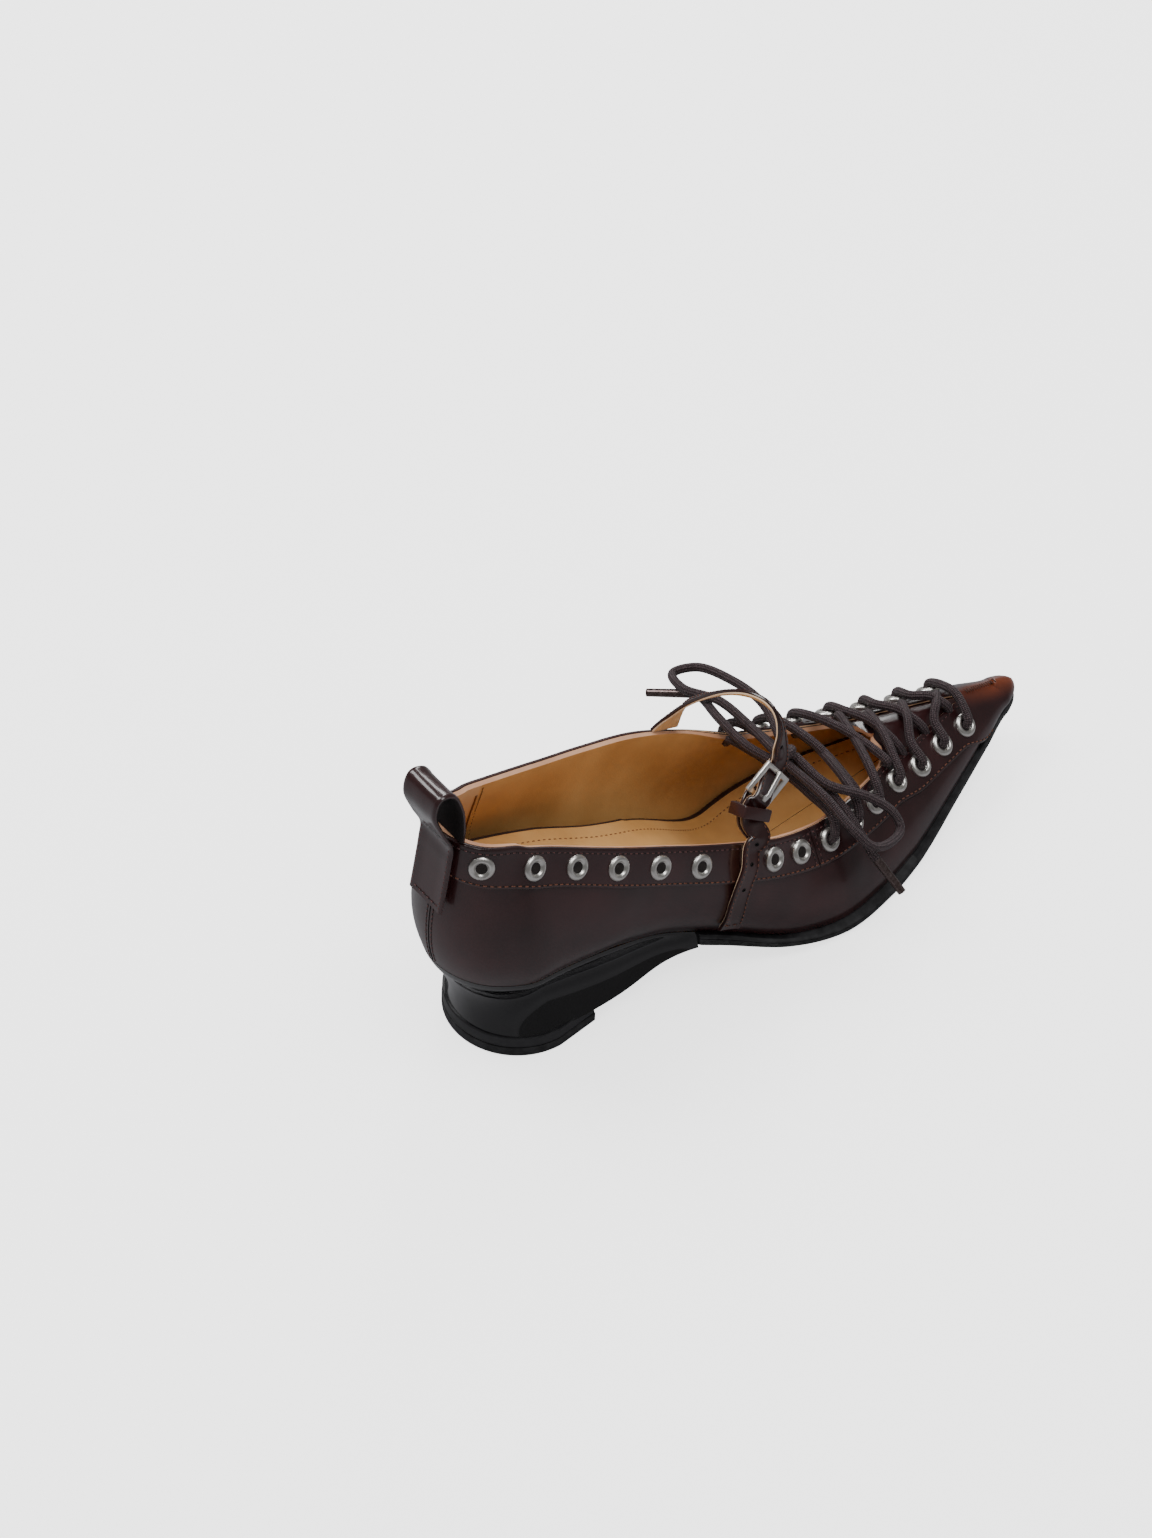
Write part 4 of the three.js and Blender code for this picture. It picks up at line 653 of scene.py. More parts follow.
def burnish(nodes, links, shader, colour):
    """The toe is burnished orange brown along its centre seam and fades back to burgundy."""
    forward = span_mask(nodes, links, object_axis(nodes, links, "X"), 0.200, 0.234)
    beside = nodes.new("ShaderNodeMath")
    beside.operation = "ABSOLUTE"
    links.new(object_axis(nodes, links, "Y"), beside.inputs[0])
    near_seam = span_mask(nodes, links, beside.outputs[0], 0.0070, 0.0005)
    cloud = nodes.new("ShaderNodeTexNoise")
    cloud.inputs["Scale"].default_value = 160
    patch = number(nodes, links, "ADD", number(nodes, links, "MULTIPLY", cloud.outputs["Fac"], 0.7), 0.55)
    mask = number(nodes, links, "MULTIPLY", number(nodes, links, "MULTIPLY", forward, near_seam), patch)
    place = nodes.new("ShaderNodeTexCoord")
    links.new(place.outputs["Object"], cloud.inputs["Vector"])
    return stain(nodes, links, shader, colour, mask, (0.16, 0.032, 0.008))


burnish(nodes, links, shader, colour)
LINING_DARK, LINING_LIGHT = (0.48, 0.235, 0.070), (0.62, 0.335, 0.115)
lining, nodes, links, shader, colour, bump = leather("tan_calf_lining", LINING_DARK, LINING_LIGHT, 1400.0,
    0.25, 0.05, (0.42, 0.55), 0.4)
# The heel's own lining is paler.
pale = span_mask(nodes, links, object_axis(nodes, links, "X"), -0.0035, -0.0050)
stain(nodes, links, shader, colour, pale, (0.60, 0.37, 0.20))
rim_edge, nodes, links, shader, colour, bump = leather("raw_edge_cream", (0.40, 0.19, 0.10),
    (0.62, 0.36, 0.22), 900.0, 0.5, 0.0, (0.6, 0.8))
for material in (burgundy, lining, rim_edge):
    upper.data.materials.append(material)

# Eyelet band and facing: a strip of the same leather laid over the wall, round the collar
# and along the throat to the toe, stitched along both edges. Its seam stands beside the bow.
SKIN_GAP, BAND_THICKNESS = 0.35, 1.2
BAND_LIFT = SKIN_GAP + BAND_THICKNESS
SEAM_X = 149 - BACK_OVERHANG
seam_row = {side: row_at(side, SEAM_X, 1) for side in (OUTER, INNER)}
ACROSS = np.concatenate([[0, 0.02, 0.05, 0.09], np.linspace(0.16, 0.84, 9), [0.91, 0.95, 0.98, 1]])


def rounded_lift(s, width, full=BAND_LIFT, low=SKIN_GAP, soft=0.9):
    """Lift across a strip whose edges are rounded over a short way."""
    away = np.minimum(s, 1 - s) * width
    f = np.clip(away / soft, 0, 1)
    return low + (full - low) * (0.35 + 0.65 * np.sqrt(1 - (1 - f) ** 2))


def strip_between(name, part, shut):
    """A laid-on strip along the part's rows, from the band's lower edge to the facing's edge."""
    tops, unders = [], []
    for side, row in part:
        edge = edge_level(side, row)
        band = band_level(side, row, edge)
        t = band + (edge - band) * ACROSS
        width = wall_length(side, row, band, edge)
        tops.append(skin(side, row, t, rounded_lift(ACROSS, width)))
        unders.append(skin(side, row, t, SKIN_GAP))
    n, m = len(part), len(ACROSS)
    verts = [p for column in tops for p in column] + [p for column in unders for p in column]
    shift = n * m
    faces, kinds = [], []
    for i in range(n - 1):
        k = i + 1
        for j in range(m - 1):
            faces.append((i * m + j, k * m + j, k * m + j + 1, i * m + j + 1))
            faces.append((shift + k * m + j, shift + i * m + j, shift + i * m + j + 1,
                shift + k * m + j + 1))
            kinds += [0, 0]
        if not (shut(part[i]) and shut(part[k])):
            faces.append((i * m + m - 1, k * m + m - 1, shift + k * m + m - 1, shift + i * m + m - 1))
            kinds.append(1)
        faces.append((shift + i * m, shift + k * m, k * m, i * m))
        kinds.append(0)
    for i, turned in ((0, False), (n - 1, True)):
        for j in range(m - 1):
            face = (shift + i * m + j, i * m + j, i * m + j + 1, shift + i * m + j + 1)
            faces.append(face[::-1] if turned else face)
            kinds.append(0)
    piece = put(name, verts, faces)
    piece.data.polygons.foreach_set("material_index", kinds)
    weld(piece)
    return piece


FINE = [round(k / 12, 4) for k in range(12 * LAST_ROW + 1)]
band_rows = {side: [row for row in FINE if row < seam_row[side] - 0.02] + [row_at(side, SEAM_X - 0.3, 1)]
    for side in (OUTER, INNER)}
facing_rows = {side: [seam_row[side]] + [row for row in FINE if row > seam_row[side] + 0.02]
    for side in (OUTER, INNER)}
band_part = [(INNER, row) for row in band_rows[INNER][::-1]] + [(OUTER, row)
    for row in band_rows[OUTER][1:]]
facing_part = [(OUTER, row) for row in facing_rows[OUTER]] + [(INNER, row)
    for row in facing_rows[INNER][:-1][::-1]]
band = strip_between("eyelet_band", band_part, lambda at: False)
facing = strip_between("lace_facing", facing_part,
                       lambda at: edge_level(*at) == 1 and at[1] > 10
                       and row_values(HALF[at[0]], at[1])[7] < 1e-4)
for piece, node in ((band, "collar_band"), (facing, "facing")):
    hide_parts(node)
    sharp_over(piece, 40)
band_calf, nodes, links, shader, colour, _ = leather("burgundy_band_leather", (0.012, 0.0026, 0.0030),
    (0.028, 0.0058, 0.0064), coat=0.75, rough=(0.22, 0.36), coat_rough=0.07)
burnish(nodes, links, shader, colour)
folded_edge, nodes, links, shader, colour, _ = leather("folded_edge_pale", (0.030, 0.008, 0.008),
    (0.075, 0.024, 0.02), 900.0, 0.5, 0.3, (0.4, 0.6))
# Ahead of the throat the edge is cut, and the pale raw leather shows along it.
raw = span_mask(nodes, links, object_axis(nodes, links, "X"), 0.088, 0.098)
stain(nodes, links, shader, colour, raw, (0.50, 0.30, 0.17))
band.data.materials.append(band_calf)
band.data.materials.append(folded_edge)
facing.data.materials.append(band_calf)
facing.data.materials.append(folded_edge)

# Stitches: waxed thread, brown orange along the band's lower edge, dark near the collar edge.
# Each stitch is a short raised thread between two needle holes.


def sew(name, lines, pitch=2.5, stitch=1.75, radius=0.24, sink=0.05, holes=True):
    """Stitches along lines of (point, normal), joined in one piece."""
    verts, faces, kinds = [], [], []
    for points, normals in lines:
        points, normals = np.asarray(points, float), np.asarray(normals, float)
        run = np.concatenate([[0], np.cumsum(np.linalg.norm(np.diff(points, axis=0), axis=1))])

        def at(s):
            p = np.array([np.interp(s, run, points[:, k]) for k in range(3)])
            n = np.array([np.interp(s, run, normals[:, k]) for k in range(3)])
            return p, n / np.linalg.norm(n)

        count = int(run[-1] / pitch)
        for c in range(count):
            start = (c + 0.15) * run[-1] / max(count, 1)
            (p0, n0), (p1, n1) = at(start), at(start + stitch)
            along = p1 - p0
            along /= np.linalg.norm(along)
            base = len(verts)
            for f, lift, r in ((0.0, -0.25, 0.6), (0.14, 0.05, 1.0), (0.5, 0.16, 1.0), (0.86, 0.05, 1.0),
                (1.0, -0.25, 0.6)):
                n = n0 * (1 - f) + n1 * f
                middle = p0 * (1 - f) + p1 * f + n * (lift - sink)
                side = np.cross(along, n)
                side /= np.linalg.norm(side)
                for a in (0, 1, 2, 3, 4, 5):
                    turn = a * math.pi / 3
                    verts.append(middle + radius * r * (math.cos(turn) * side + math.sin(turn) * n))
            for ring in range(4):
                for a in range(6):
                    b = (a + 1) % 6
                    faces.append((base + ring * 6 + a, base + (ring + 1) * 6 + a, base + (ring + 1) * 6 + b,
                        base + ring * 6 + b))
                    kinds.append(0)
            faces.append(tuple(base + a for a in range(6)))
            faces.append(tuple(base + 24 + a for a in (5, 4, 3, 2, 1, 0)))
            kinds += [0, 0]
            # Each needle hole is a small near-black disc on the surface: painted shade of the hole.
            if holes:
                for p, n in ((p0, n0), (p1, n1)):
                    side = np.cross(along, n)
                    side /= np.linalg.norm(side)
                    base = len(verts)
                    for a in range(6):
                        turn = a * math.pi / 3
                        verts.append(p + n * 0.03 + 0.34 * (math.cos(turn) * side + math.sin(turn) * along))
                    faces.append(tuple(base + a for a in range(6)))
                    kinds.append(1)
    piece = put(name, verts, faces)
    piece.data.polygons.foreach_set("material_index", kinds)
    return piece


def thread(name, colour, shine=0.5):
    material, nodes, links, shader = new_material(name)
    place = nodes.new("ShaderNodeTexCoord")
    twist = nodes.new("ShaderNodeTexNoise")
    twist.inputs["Scale"].default_value = 2500
    links.new(place.outputs["Object"], twist.inputs["Vector"])
    links.new(ramp_between(nodes, links, twist.outputs["Fac"], tuple(c * 0.55 for c in colour),
        tuple(c * 1.5 for c in colour), 0.35, 0.7), shader.inputs["Base Color"])
    shader.inputs["Roughness"].default_value = shine
    return material


thread_brown = thread("thread_brown_orange", (0.13, 0.042, 0.022))
thread_dark = thread("thread_dark_wine", (0.085, 0.03, 0.03))
# Near black: painted shade in needle holes and punched holes, and the dark line of the back seam's closed
# joint.
hole_shade_and_joint = thread("hole_painted_shade_and_dark_joint", (0.006, 0.003, 0.003), 0.8)


def strip_line(sides_rows, distance, from_edge, lift=BAND_LIFT):
    """Points and normals along the band at a distance below its top edge or above its lower edge."""
    points, normals = [], []
    for side, row in sides_rows:
        edge = edge_level(side, row)
        band = band_level(side, row, edge)
        if from_edge:
            t = level_below(side, row, edge, distance)
        else:
            rise = wall_length(side, row, band, edge)
            t = level_below(side, row, edge, max(rise - distance, 0.5))
        points.append(skin(side, row, t, lift)[0])
        normals.append(last_normals(side, row, t)[0])
    return points, normals


toe_stop = {side: row_at(side, 258 - BACK_OVERHANG, 0.15) for side in (OUTER, INNER)}
seams_brown = sew("band_stitches_lower", [
    strip_line(band_part, 1.3, False),
    strip_line([(OUTER, row) for row in facing_rows[OUTER] if row < toe_stop[OUTER]], 1.3, False),
    strip_line([(INNER, row) for row in facing_rows[INNER] if row < toe_stop[INNER]], 1.3, False)])
seams_brown.data.materials.append(thread_brown)
seams_brown.data.materials.append(hole_shade_and_joint)
edge_lines = [strip_line(band_part, 2.2, True)]
for side in (OUTER, INNER):
    edge_lines.append(strip_line([(side, row) for row in facing_rows[side]
        if row < row_at(side, 246 - BACK_OVERHANG, 0.7)], 1.9, True))
seams_dark = sew("band_stitches_upper", edge_lines, radius=0.2, stitch=1.6)
seams_dark.data.materials.append(thread_dark)
seams_dark.data.materials.append(hole_shade_and_joint)

# The upright seam between band and facing is sewn on both sides of its joint.
upright = []
for side in (OUTER, INNER):
    for offset in (-1.7, 1.5):
        row = row_at(side, SEAM_X + offset, 1)
        edge = edge_level(side, row)
        band_low = band_level(side, row, edge)
        t = np.linspace(band_low + (edge - band_low) * 0.06, edge - (edge - band_low) * 0.05, 14)
        upright.append((skin(side, row, t, BAND_LIFT), last_normals(side, row, t)))
seam_upright = sew("band_seam_stitches", upright, pitch=2.1, stitch=1.4, radius=0.2)
seam_upright.data.materials.append(thread_dark)
seam_upright.data.materials.append(hole_shade_and_joint)

# The toe's centre seam: both facings meet in a puckered ridge, drawn together by cross stitches.
ridge_rows = [row for row in FINE if row_at(OUTER, 251 - BACK_OVERHANG, 1) < row <= LAST_ROW - 0.9]
ridge = np.array([skin(OUTER, row, 1, BAND_LIFT)[0] for row in ridge_rows])
ridge[:, 1] = 0
stitches_toe = []
run = np.concatenate([[0], np.cumsum(np.linalg.norm(np.diff(ridge, axis=0), axis=1))])
for s in np.arange(0.6, run[-1] - 0.4, 1.15):
    p = np.array([np.interp(s, run, ridge[:, k]) for k in range(3)])
    q = np.array([np.interp(min(s + 0.3, run[-1]), run, ridge[:, k]) for k in range(3)])
    line = [p + (0, -1.25, -0.42), p + (0.15, -0.5, 0.02), q + (0, 0.5, 0.02), q + (0.1, 1.25, -0.42)]
    stitches_toe.append((line, [(0, -0.35, 0.9), (0, -0.1, 1), (0, 0.1, 1), (0, 0.35, 0.9)]))
toe_seam = sew("toe_seam_stitches", stitches_toe, pitch=2.6, stitch=2.2, radius=0.26, sink=-0.35,
    holes=False)
toe_seam.data.materials.append(thread("thread_toe_dark", (0.05, 0.014, 0.008)))

# Back seam: a fine closed joint up the middle of the heel cup.
back_t = np.linspace(0.02, 0.75, 40)
back_line = skin(OUTER, 0, back_t, 0.0)
verts, faces, _ = tube(even_path(back_line[::4], 0.8), 0.22, 8)
back_seam = put("back_seam_joint", verts, faces)
back_seam.data.materials.append(hole_shade_and_joint)
back_rows = []
for offset in (-1.5, 1.5):
    points = back_line.copy()
    points[:, 1] += offset
    points[:, 0] += 0.03
    back_rows.append((points, np.tile((-1.0, 0.0, 0.12), (len(points), 1))))
back_stitches = sew("back_seam_stitches", back_rows, pitch=2.3, stitch=1.5, radius=0.18)
back_stitches.data.materials.append(thread_dark)
back_stitches.data.materials.append(hole_shade_and_joint)

# Lining seams: the paler heel lining is lapped over the quarter lining and sewn down.
# Shown inside the collar as a folded lap with a row of stitches ahead of it.
lap_lines = []
for side in (OUTER, INNER):
    for row_x in (-4.0,):
        row = row_at(side, row_x, 0.5)
        t = np.linspace(0.06, 0.97, 24)
        wave = 1.6 * np.sin(t * 4.2)
        points = skin(side, row, t, -WALL - 0.12)
        points[:, 0] += wave
        lap_lines.append((points, -last_normals(side, row, t)))
lining_stitches = sew("lining_stitches", [(p + np.array((2.2, 0, 0)), n) for p, n in lap_lines], pitch=2.3,
    stitch=1.3, radius=0.2)
lining_stitches.data.materials.append(thread("thread_lining", (0.30, 0.14, 0.045)))
lining_stitches.data.materials.append(hole_shade_and_joint)
verts, faces = [], []
for points, normals in lap_lines:
    v, f, _ = tube(even_path(points[::3] + normals[::3] * 0.05, 0.9), 0.38, 8)
    faces += [tuple(i + len(verts) for i in face) for face in f]
    verts += list(v)
lap = put("heel_lining_lap", verts, faces)
lap.data.materials.append(thread("lining_fold_shadow", (0.20, 0.085, 0.025), 0.6))

# Insole: a tan calf sock over the board, sewn round about 7 mm inside its edge with a row of
# small stitches, and a soft hollow under heel and ball.
INSOLE_THICKNESS, HEEL_PAD = 2.5, 21


def outline_normal(side, row):
    ahead = last_points(side, min(row + 0.05, LAST_ROW), 0)[0]
    behind = last_points(side, max(row - 0.05, 0), 0)[0]
    normal = -side * np.array((ahead[1] - behind[1], behind[0] - ahead[0], 0))
    if row in (0, LAST_ROW):
        normal[1] = 0
    return normal / np.linalg.norm(normal)


def insole_edge(side, row, inset, lift):
    foot = last_points(side, row, 0)[0]
    p = foot - outline_normal(side, row) * (WALL + inset)
    pad = HEEL_PAD * (1 - ease((foot[0] / SHOE_LENGTH - 0.21) / 0.19))
    p[2] = feather_height(foot[0]) + lift + (pad if lift > 0 else 0)
    return p


insole_rows = [row for row in FINE if row <= TOE_ROW]
steps = np.concatenate([[0, 0.028], np.linspace(0.06, 0.94, 19), [0.972, 1]])
verts, faces, at_share = [], [], {}
for lift_row in (1, 0):
    for row in insole_rows:
        a, b = (insole_edge(side, row, 0.9, 0.1 * lift_row) for side in (OUTER, INNER))
        for s in steps:
            p = a * (1 - s) + b * s
            rim = min(s, 1 - s) * np.linalg.norm(b - a)
            rise = (1.2 if p[0] < 60 else 0.5) * math.exp(-rim / 5.0)
            soft = 0.35 * (1 - min(rim / 0.6, 1)) ** 2
            p = p + np.array((0, 0, (INSOLE_THICKNESS - 1.0 + rise - soft) if lift_row else 0.3))
            verts.append(p)
            at_share[round(p[0] * MM, 6), round(p[1] * MM, 6)] = s
n, m = len(insole_rows), len(steps)
shift = n * m
for i in range(n - 1):
    for j in range(m - 1):
        a, b, c, d = i * m + j, (i + 1) * m + j, (i + 1) * m + j + 1, i * m + j + 1
        faces.append((a, b, c, d))
        faces.append((shift + d, shift + c, shift + b, shift + a))
    faces.append((i * m, shift + i * m, shift + (i + 1) * m, (i + 1) * m))
    faces.append((i * m + m - 1, (i + 1) * m + m - 1, shift + (i + 1) * m + m - 1, shift + i * m + m - 1))
for j in range(m - 1):
    faces.append((j, j + 1, shift + j + 1, shift + j))
    faces.append(((n - 1) * m + j + 1, (n - 1) * m + j, shift + (n - 1) * m + j,
        shift + (n - 1) * m + j + 1))
insole = put("insole_sock", verts, faces)
weld(insole)
face_outwards(insole)
sharp_over(insole, 45)
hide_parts("insole")
# The outermost strip of the sock's top, about 2 mm wide, and its side are near black: painted shade of the gap
# between insole and wall.
sock_rim_shade, nodes, links, shader, colour, bump = leather("sock_rim_painted_gap_shade", (0.020, 0.008, 0.005),
    (0.045, 0.018, 0.010), 900.0, 0.4, 0.0, (0.6, 0.8))
sock, nodes, links, shader, colour, bump = leather("tan_sock_leather", (0.56, 0.29, 0.09),
    (0.70, 0.39, 0.14), 1300.0, 0.3, 0.06, (0.38, 0.52), 0.35)
insole.data.materials.append(sock)
insole.data.materials.append(sock_rim_shade)
# Faces along the very edge of the width take the painted gap shade.
for face in insole.data.polygons:
    shares = [at_share.get((round(insole.data.vertices[v].co.x, 6), round(insole.data.vertices[v].co.y, 6)),
        0.5) for v in face.vertices]
    face.material_index = int(sum(min(s, 1 - s) for s in shares) / len(shares) < 0.02)
row_dots = []
for side in (OUTER, INNER):
    pts = []
    for row in insole_rows:
        if row > 15.2:
            continue
        p = insole_edge(side, row, 7.6, INSOLE_THICKNESS - 0.55)
        pts.append(p + np.array((0, 0, 0.55 if p[0] < 60 else 0.12)))
    # keep the row on the surface below it
    row_dots.append(pts)
sock_skin = BVHTree.FromObject(insole, bpy.context.evaluated_depsgraph_get())
sock_lines = []
for pts in row_dots:
    line, normals = [], []
    for p in pts:
        hit = sock_skin.ray_cast(Vector((p[0], p[1], p[2] + 10)) * MM, Vector((0, 0, -1)))
        if hit[0] is not None:
            line.append(np.array(hit[0]) / MM)
            normals.append(np.array(hit[1]))
    sock_lines.append((line, normals))
sock_stitches = sew("insole_stitches", sock_lines, pitch=2.3, stitch=1.3, radius=0.24,
    holes=False)
sock_stitches.data.materials.append(thread("thread_sock", (0.25, 0.10, 0.03)))
sock_stitches.data.materials.append(hole_shade_and_joint)

# Eyelets: rolled nickel rings with a domed flange, pressed through the band.
# Thirty of them, each on the place and slope of its own solid.
nickel, nodes, links, shader = new_material("polished_nickel")
place = nodes.new("ShaderNodeTexCoord")
scratch = nodes.new("ShaderNodeTexNoise")
scratch.inputs["Scale"].default_value = 700
scratch.inputs["Detail"].default_value = 6
links.new(place.outputs["Object"], scratch.inputs["Vector"])
links.new(ramp_between(nodes, links, scratch.outputs["Fac"], (0.86, 0.83, 0.78), (0.96, 0.94, 0.90), 0.35,
    0.7), shader.inputs["Base Color"])
shader.inputs["Metallic"].default_value = 1
links.new(number(nodes, links, "ADD", number(nodes, links, "MULTIPLY", scratch.outputs["Fac"], 0.18), 0.24),
    shader.inputs["Roughness"])
# The lid across the foot of each ring's hole is near black: painted shade inside the hole.
eyelet_hole_shade, nodes, links, shader = new_material("dark_hole")
place = nodes.new("ShaderNodeTexCoord")
cloud = nodes.new("ShaderNodeTexNoise")
cloud.inputs["Scale"].default_value = 500
links.new(place.outputs["Object"], cloud.inputs["Vector"])
links.new(ramp_between(nodes, links, cloud.outputs["Fac"], (0.004, 0.002, 0.002), (0.02, 0.012, 0.01)),
    shader.inputs["Base Color"])
shader.inputs["Roughness"].default_value = 0.8
# radius and height of the ring's section, from the hole's foot over the dome to the outer lip
EYELET = ((2.1, 0.3), (2.3, 0.45), (2.45, 0.65), (2.7, 0.9), (3.0, 1.1), (3.4, 1.18), (3.8, 1.06),
    (4.2, 0.8),
          (4.48, 0.5), (4.63, 0.2), (4.66, 0.0), (4.6, -0.6), (3.6, -0.7))
eyelet_places = {}
for node in sorted(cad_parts):
    if not node.startswith("eyelet_"):
        continue
    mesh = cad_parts[node].data
    co = np.unique(np.round(np.array([v.co for v in mesh.vertices], float) / MM, 4), axis=0)
    middle = co.mean(0)
    _, _, axes_found = np.linalg.svd(co - middle)
    best = None
    for axis in axes_found:
        away = np.linalg.norm(np.cross(co - middle, axis), axis=1)
        lip = co[away > 4.4]
        if len(lip) >= 8:
            flat = np.ptp(lip @ axis)
            if best is None or flat < best[0]:
                best = (flat, axis, lip.mean(0))
    _, axis, lip = best
    outwards = lip - middle
    if np.dot(outwards, axis) < 0:
        axis = -axis
    eyelet_places[node] = (lip - axis * 0.3, axis)
verts, faces, kinds = [], [], []
for node, (foot, axis) in eyelet_places.items():
    verts, faces, kinds = [], [], []
    side = np.cross(axis, (0.2, 0.1, 1.0))
    side /= np.linalg.norm(side)
    up = np.cross(axis, side)
    sides = 40
    for r, h in EYELET:
        for a in range(sides):
            turn = 2 * math.pi * a / sides
            verts.append(foot + axis * (h + 0.12) + r * (math.cos(turn) * side + math.sin(turn) * up))
    for k in range(len(EYELET) - 1):
        for a in range(sides):
            b = (a + 1) % sides
            faces.append((k * sides + a, k * sides + b, (k + 1) * sides + b, (k + 1) * sides + a))
            kinds.append(0)
    # This lid closes the hole's foot and takes the painted shade.
    faces.append(tuple(range(sides)))
    kinds.append(1)
    faces.append(tuple((len(EYELET) - 1) * sides + a for a in range(sides - 1, -1, -1)))
    kinds.append(0)
    piece = put("ring_" + node, verts, faces)
    piece.data.polygons.foreach_set("material_index", kinds)
    piece.data.materials.append(nickel)
    piece.data.materials.append(eyelet_hole_shade)
    face_outwards(piece)
    sharp_over(piece, 70)
    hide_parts(node)

# Laces: the waxed cord crosses over the throat, through fourteen eyelets, up to the knot.
# Each strand comes up through an eyelet, rides over the facing's edge and dips under the other.


def row_of(side, node):
    """The row that the eyelet stands on, found by its place along the shoe."""
    foot, _ = eyelet_places[node]
    low, high = 6.0, float(TOE_ROW)
    for _ in range(20):
        middle = (low + high) / 2
        edge = edge_level(side, middle)
        if last_points(side, middle, level_below(side, middle, edge, 8.0))[0][0] < foot[0]:
            low = middle
        else:
            high = middle
    return (low + high) / 2


lace_eyelets = {}
for side, word in ((OUTER, "outer"), (INNER, "inner")):
    for k in range(1, 8):
        node = f"eyelet_lace_{word}_{k}"
        lace_eyelets[side, k] = (*eyelet_places[node], row_of(side, node))


def leaving(side, k):
    foot, axis, row = lace_eyelets[side, k]
    edge = edge_level(side, row)
    over = skin(side, row + 0.05, edge_level(side, row + 0.05),
        BAND_LIFT + LACE / 2 + 0.5)[0] + np.array((0.5, 0, 1.0))
    inward = over - foot
    inward -= axis * np.dot(inward, axis)
    inward /= np.linalg.norm(inward)
    return [foot - axis * 2.6, foot + axis * 0.4, foot + axis * 2.6 + inward * 1.2, over]


def strand(side, k, raised):
    start = leaving(side, k)
    over = start[-1]
    row = lace_eyelets[-side, k + 1][2] - 0.24
    edge = edge_level(-side, row)
    inward = np.array((0, side, 0))
    if edge == 1:
        end = skin(-side, row, 1, 0)[0] + inward * (LACE / 2 + 0.8)
        below = end + np.array((1.0, -side * 2.6, -3.4))
    else:
        end = skin(-side, row, edge + 0.3 * (1 - edge), BAND_LIFT + LACE / 2)[0]
        below = skin(-side, row + 0.1, edge - 0.02, 0.2)[0]
    middle = (over + end) / 2
    middle[2] = max(over[2], end[2]) + raised
    return [*start, middle, end, below]


crossings = []
for k in range(1, 7):
    for side, raised in ((INNER, 1.0), (OUTER, 2.4)):
        if side == OUTER and k == 1:
            continue
        word = "under" if side == INNER else "over"
        piece, _ = lace_tube(f"lace_{word}_{k}", strand(side, k, raised), 0.9)
        piece.data.materials.append(lace_material)
        crossings.append(piece)
        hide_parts(f"lace_cross_{k}")
foot_of_knot = KNOT + np.array((0, 0, -KNOT_HALF[2] - 0.3 - LACE / 2))
rise_start = leaving(OUTER, 1)
rise, _ = lace_tube("lace_rise_outer", [*rise_start, (rise_start[-1] + foot_of_knot) / 2, foot_of_knot,
    KNOT], 0.9)
edge_inner = skin(INNER, lace_eyelets[INNER, 1][2] - 0.14, 1, 0)[0] + np.array((0, -LACE / 2 - 0.8, -0.5))
rise_in, _ = lace_tube("lace_rise_inner", [edge_inner + np.array((0.5, 3, -4)), edge_inner,
    (edge_inner + foot_of_knot) / 2 + np.array((-1, 0, 1)), foot_of_knot + np.array((-0.6, 0, 0)),
    KNOT + np.array((-1.2, 0, 0))], 0.9)
a, b = leaving(OUTER, 7), leaving(INNER, 7)
bar, _ = lace_tube("lace_bar_toe", [*a[:-1], (a[-1] + b[-1]) / 2 + np.array((0.5, 0, 0.5)), *b[:-1][::-1]],
    0.9)
for piece, node in ((rise, "lace_rise"), (rise_in, "lace_rise"), (bar, "lace_bar")):
    piece.data.materials.append(lace_material)
    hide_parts(node)

# Outsole: moulded black rubber under the forepart. A smooth welt lies against the upper,
# a tread of crossing bars curls up its side, and fine teeth run round the toe.
WELT, BALL_FLARE, BALL_AT, BALL_SPAN, SOLE_BACK = 2.2, 1.9, 128.0, 85.0, 100.0
# out beyond the feather line, up as a share of the sole
SOLE_EDGE = ((-0.5, 0.0), (0.2, 0.05), (0.7, 0.16), (0.93, 0.3), (1.0, 0.45), (0.99, 0.6), (0.93, 0.7),
    (0.80, 0.72),
             (0.80, 0.75), (0.93, 0.77), (0.88, 0.88), (0.6, 1.0))


def sole_depth(x):
    share = (x + BACK_OVERHANG) / SHOE_LENGTH
    return SOLE_THICKNESS * (1 + 0.35 * ease((0.5 - share) / 0.12) + 0.15 * ease((share - 0.7) / 0.25))


def underside(x):
    return feather_height(x) - sole_depth(x)


sole_start = row_at(OUTER, SOLE_BACK - BACK_OVERHANG, 0)
sole_rows = [sole_start] + [round(k / 20, 4) for k in range(20 * LAST_ROW + 1)
    if k / 20 > sole_start + 0.02]


def sole_point(side, row, out, up):
    foot = last_points(side, row, 0)[0]
    flare = BALL_FLARE * math.cos(math.pi / 2 * min(abs(foot[0] - BALL_AT) / BALL_SPAN, 1)) ** 2
    step = WELT + flare if out > 0 else min(WELT, abs(foot[1]) * 0.12)
    p = foot + outline_normal(side, row) * out * step
    if row == sole_start:
        p[0] = foot[0]
    p[2] = underside(foot[0]) + up * (sole_depth(foot[0]) - 0.3)
    return p


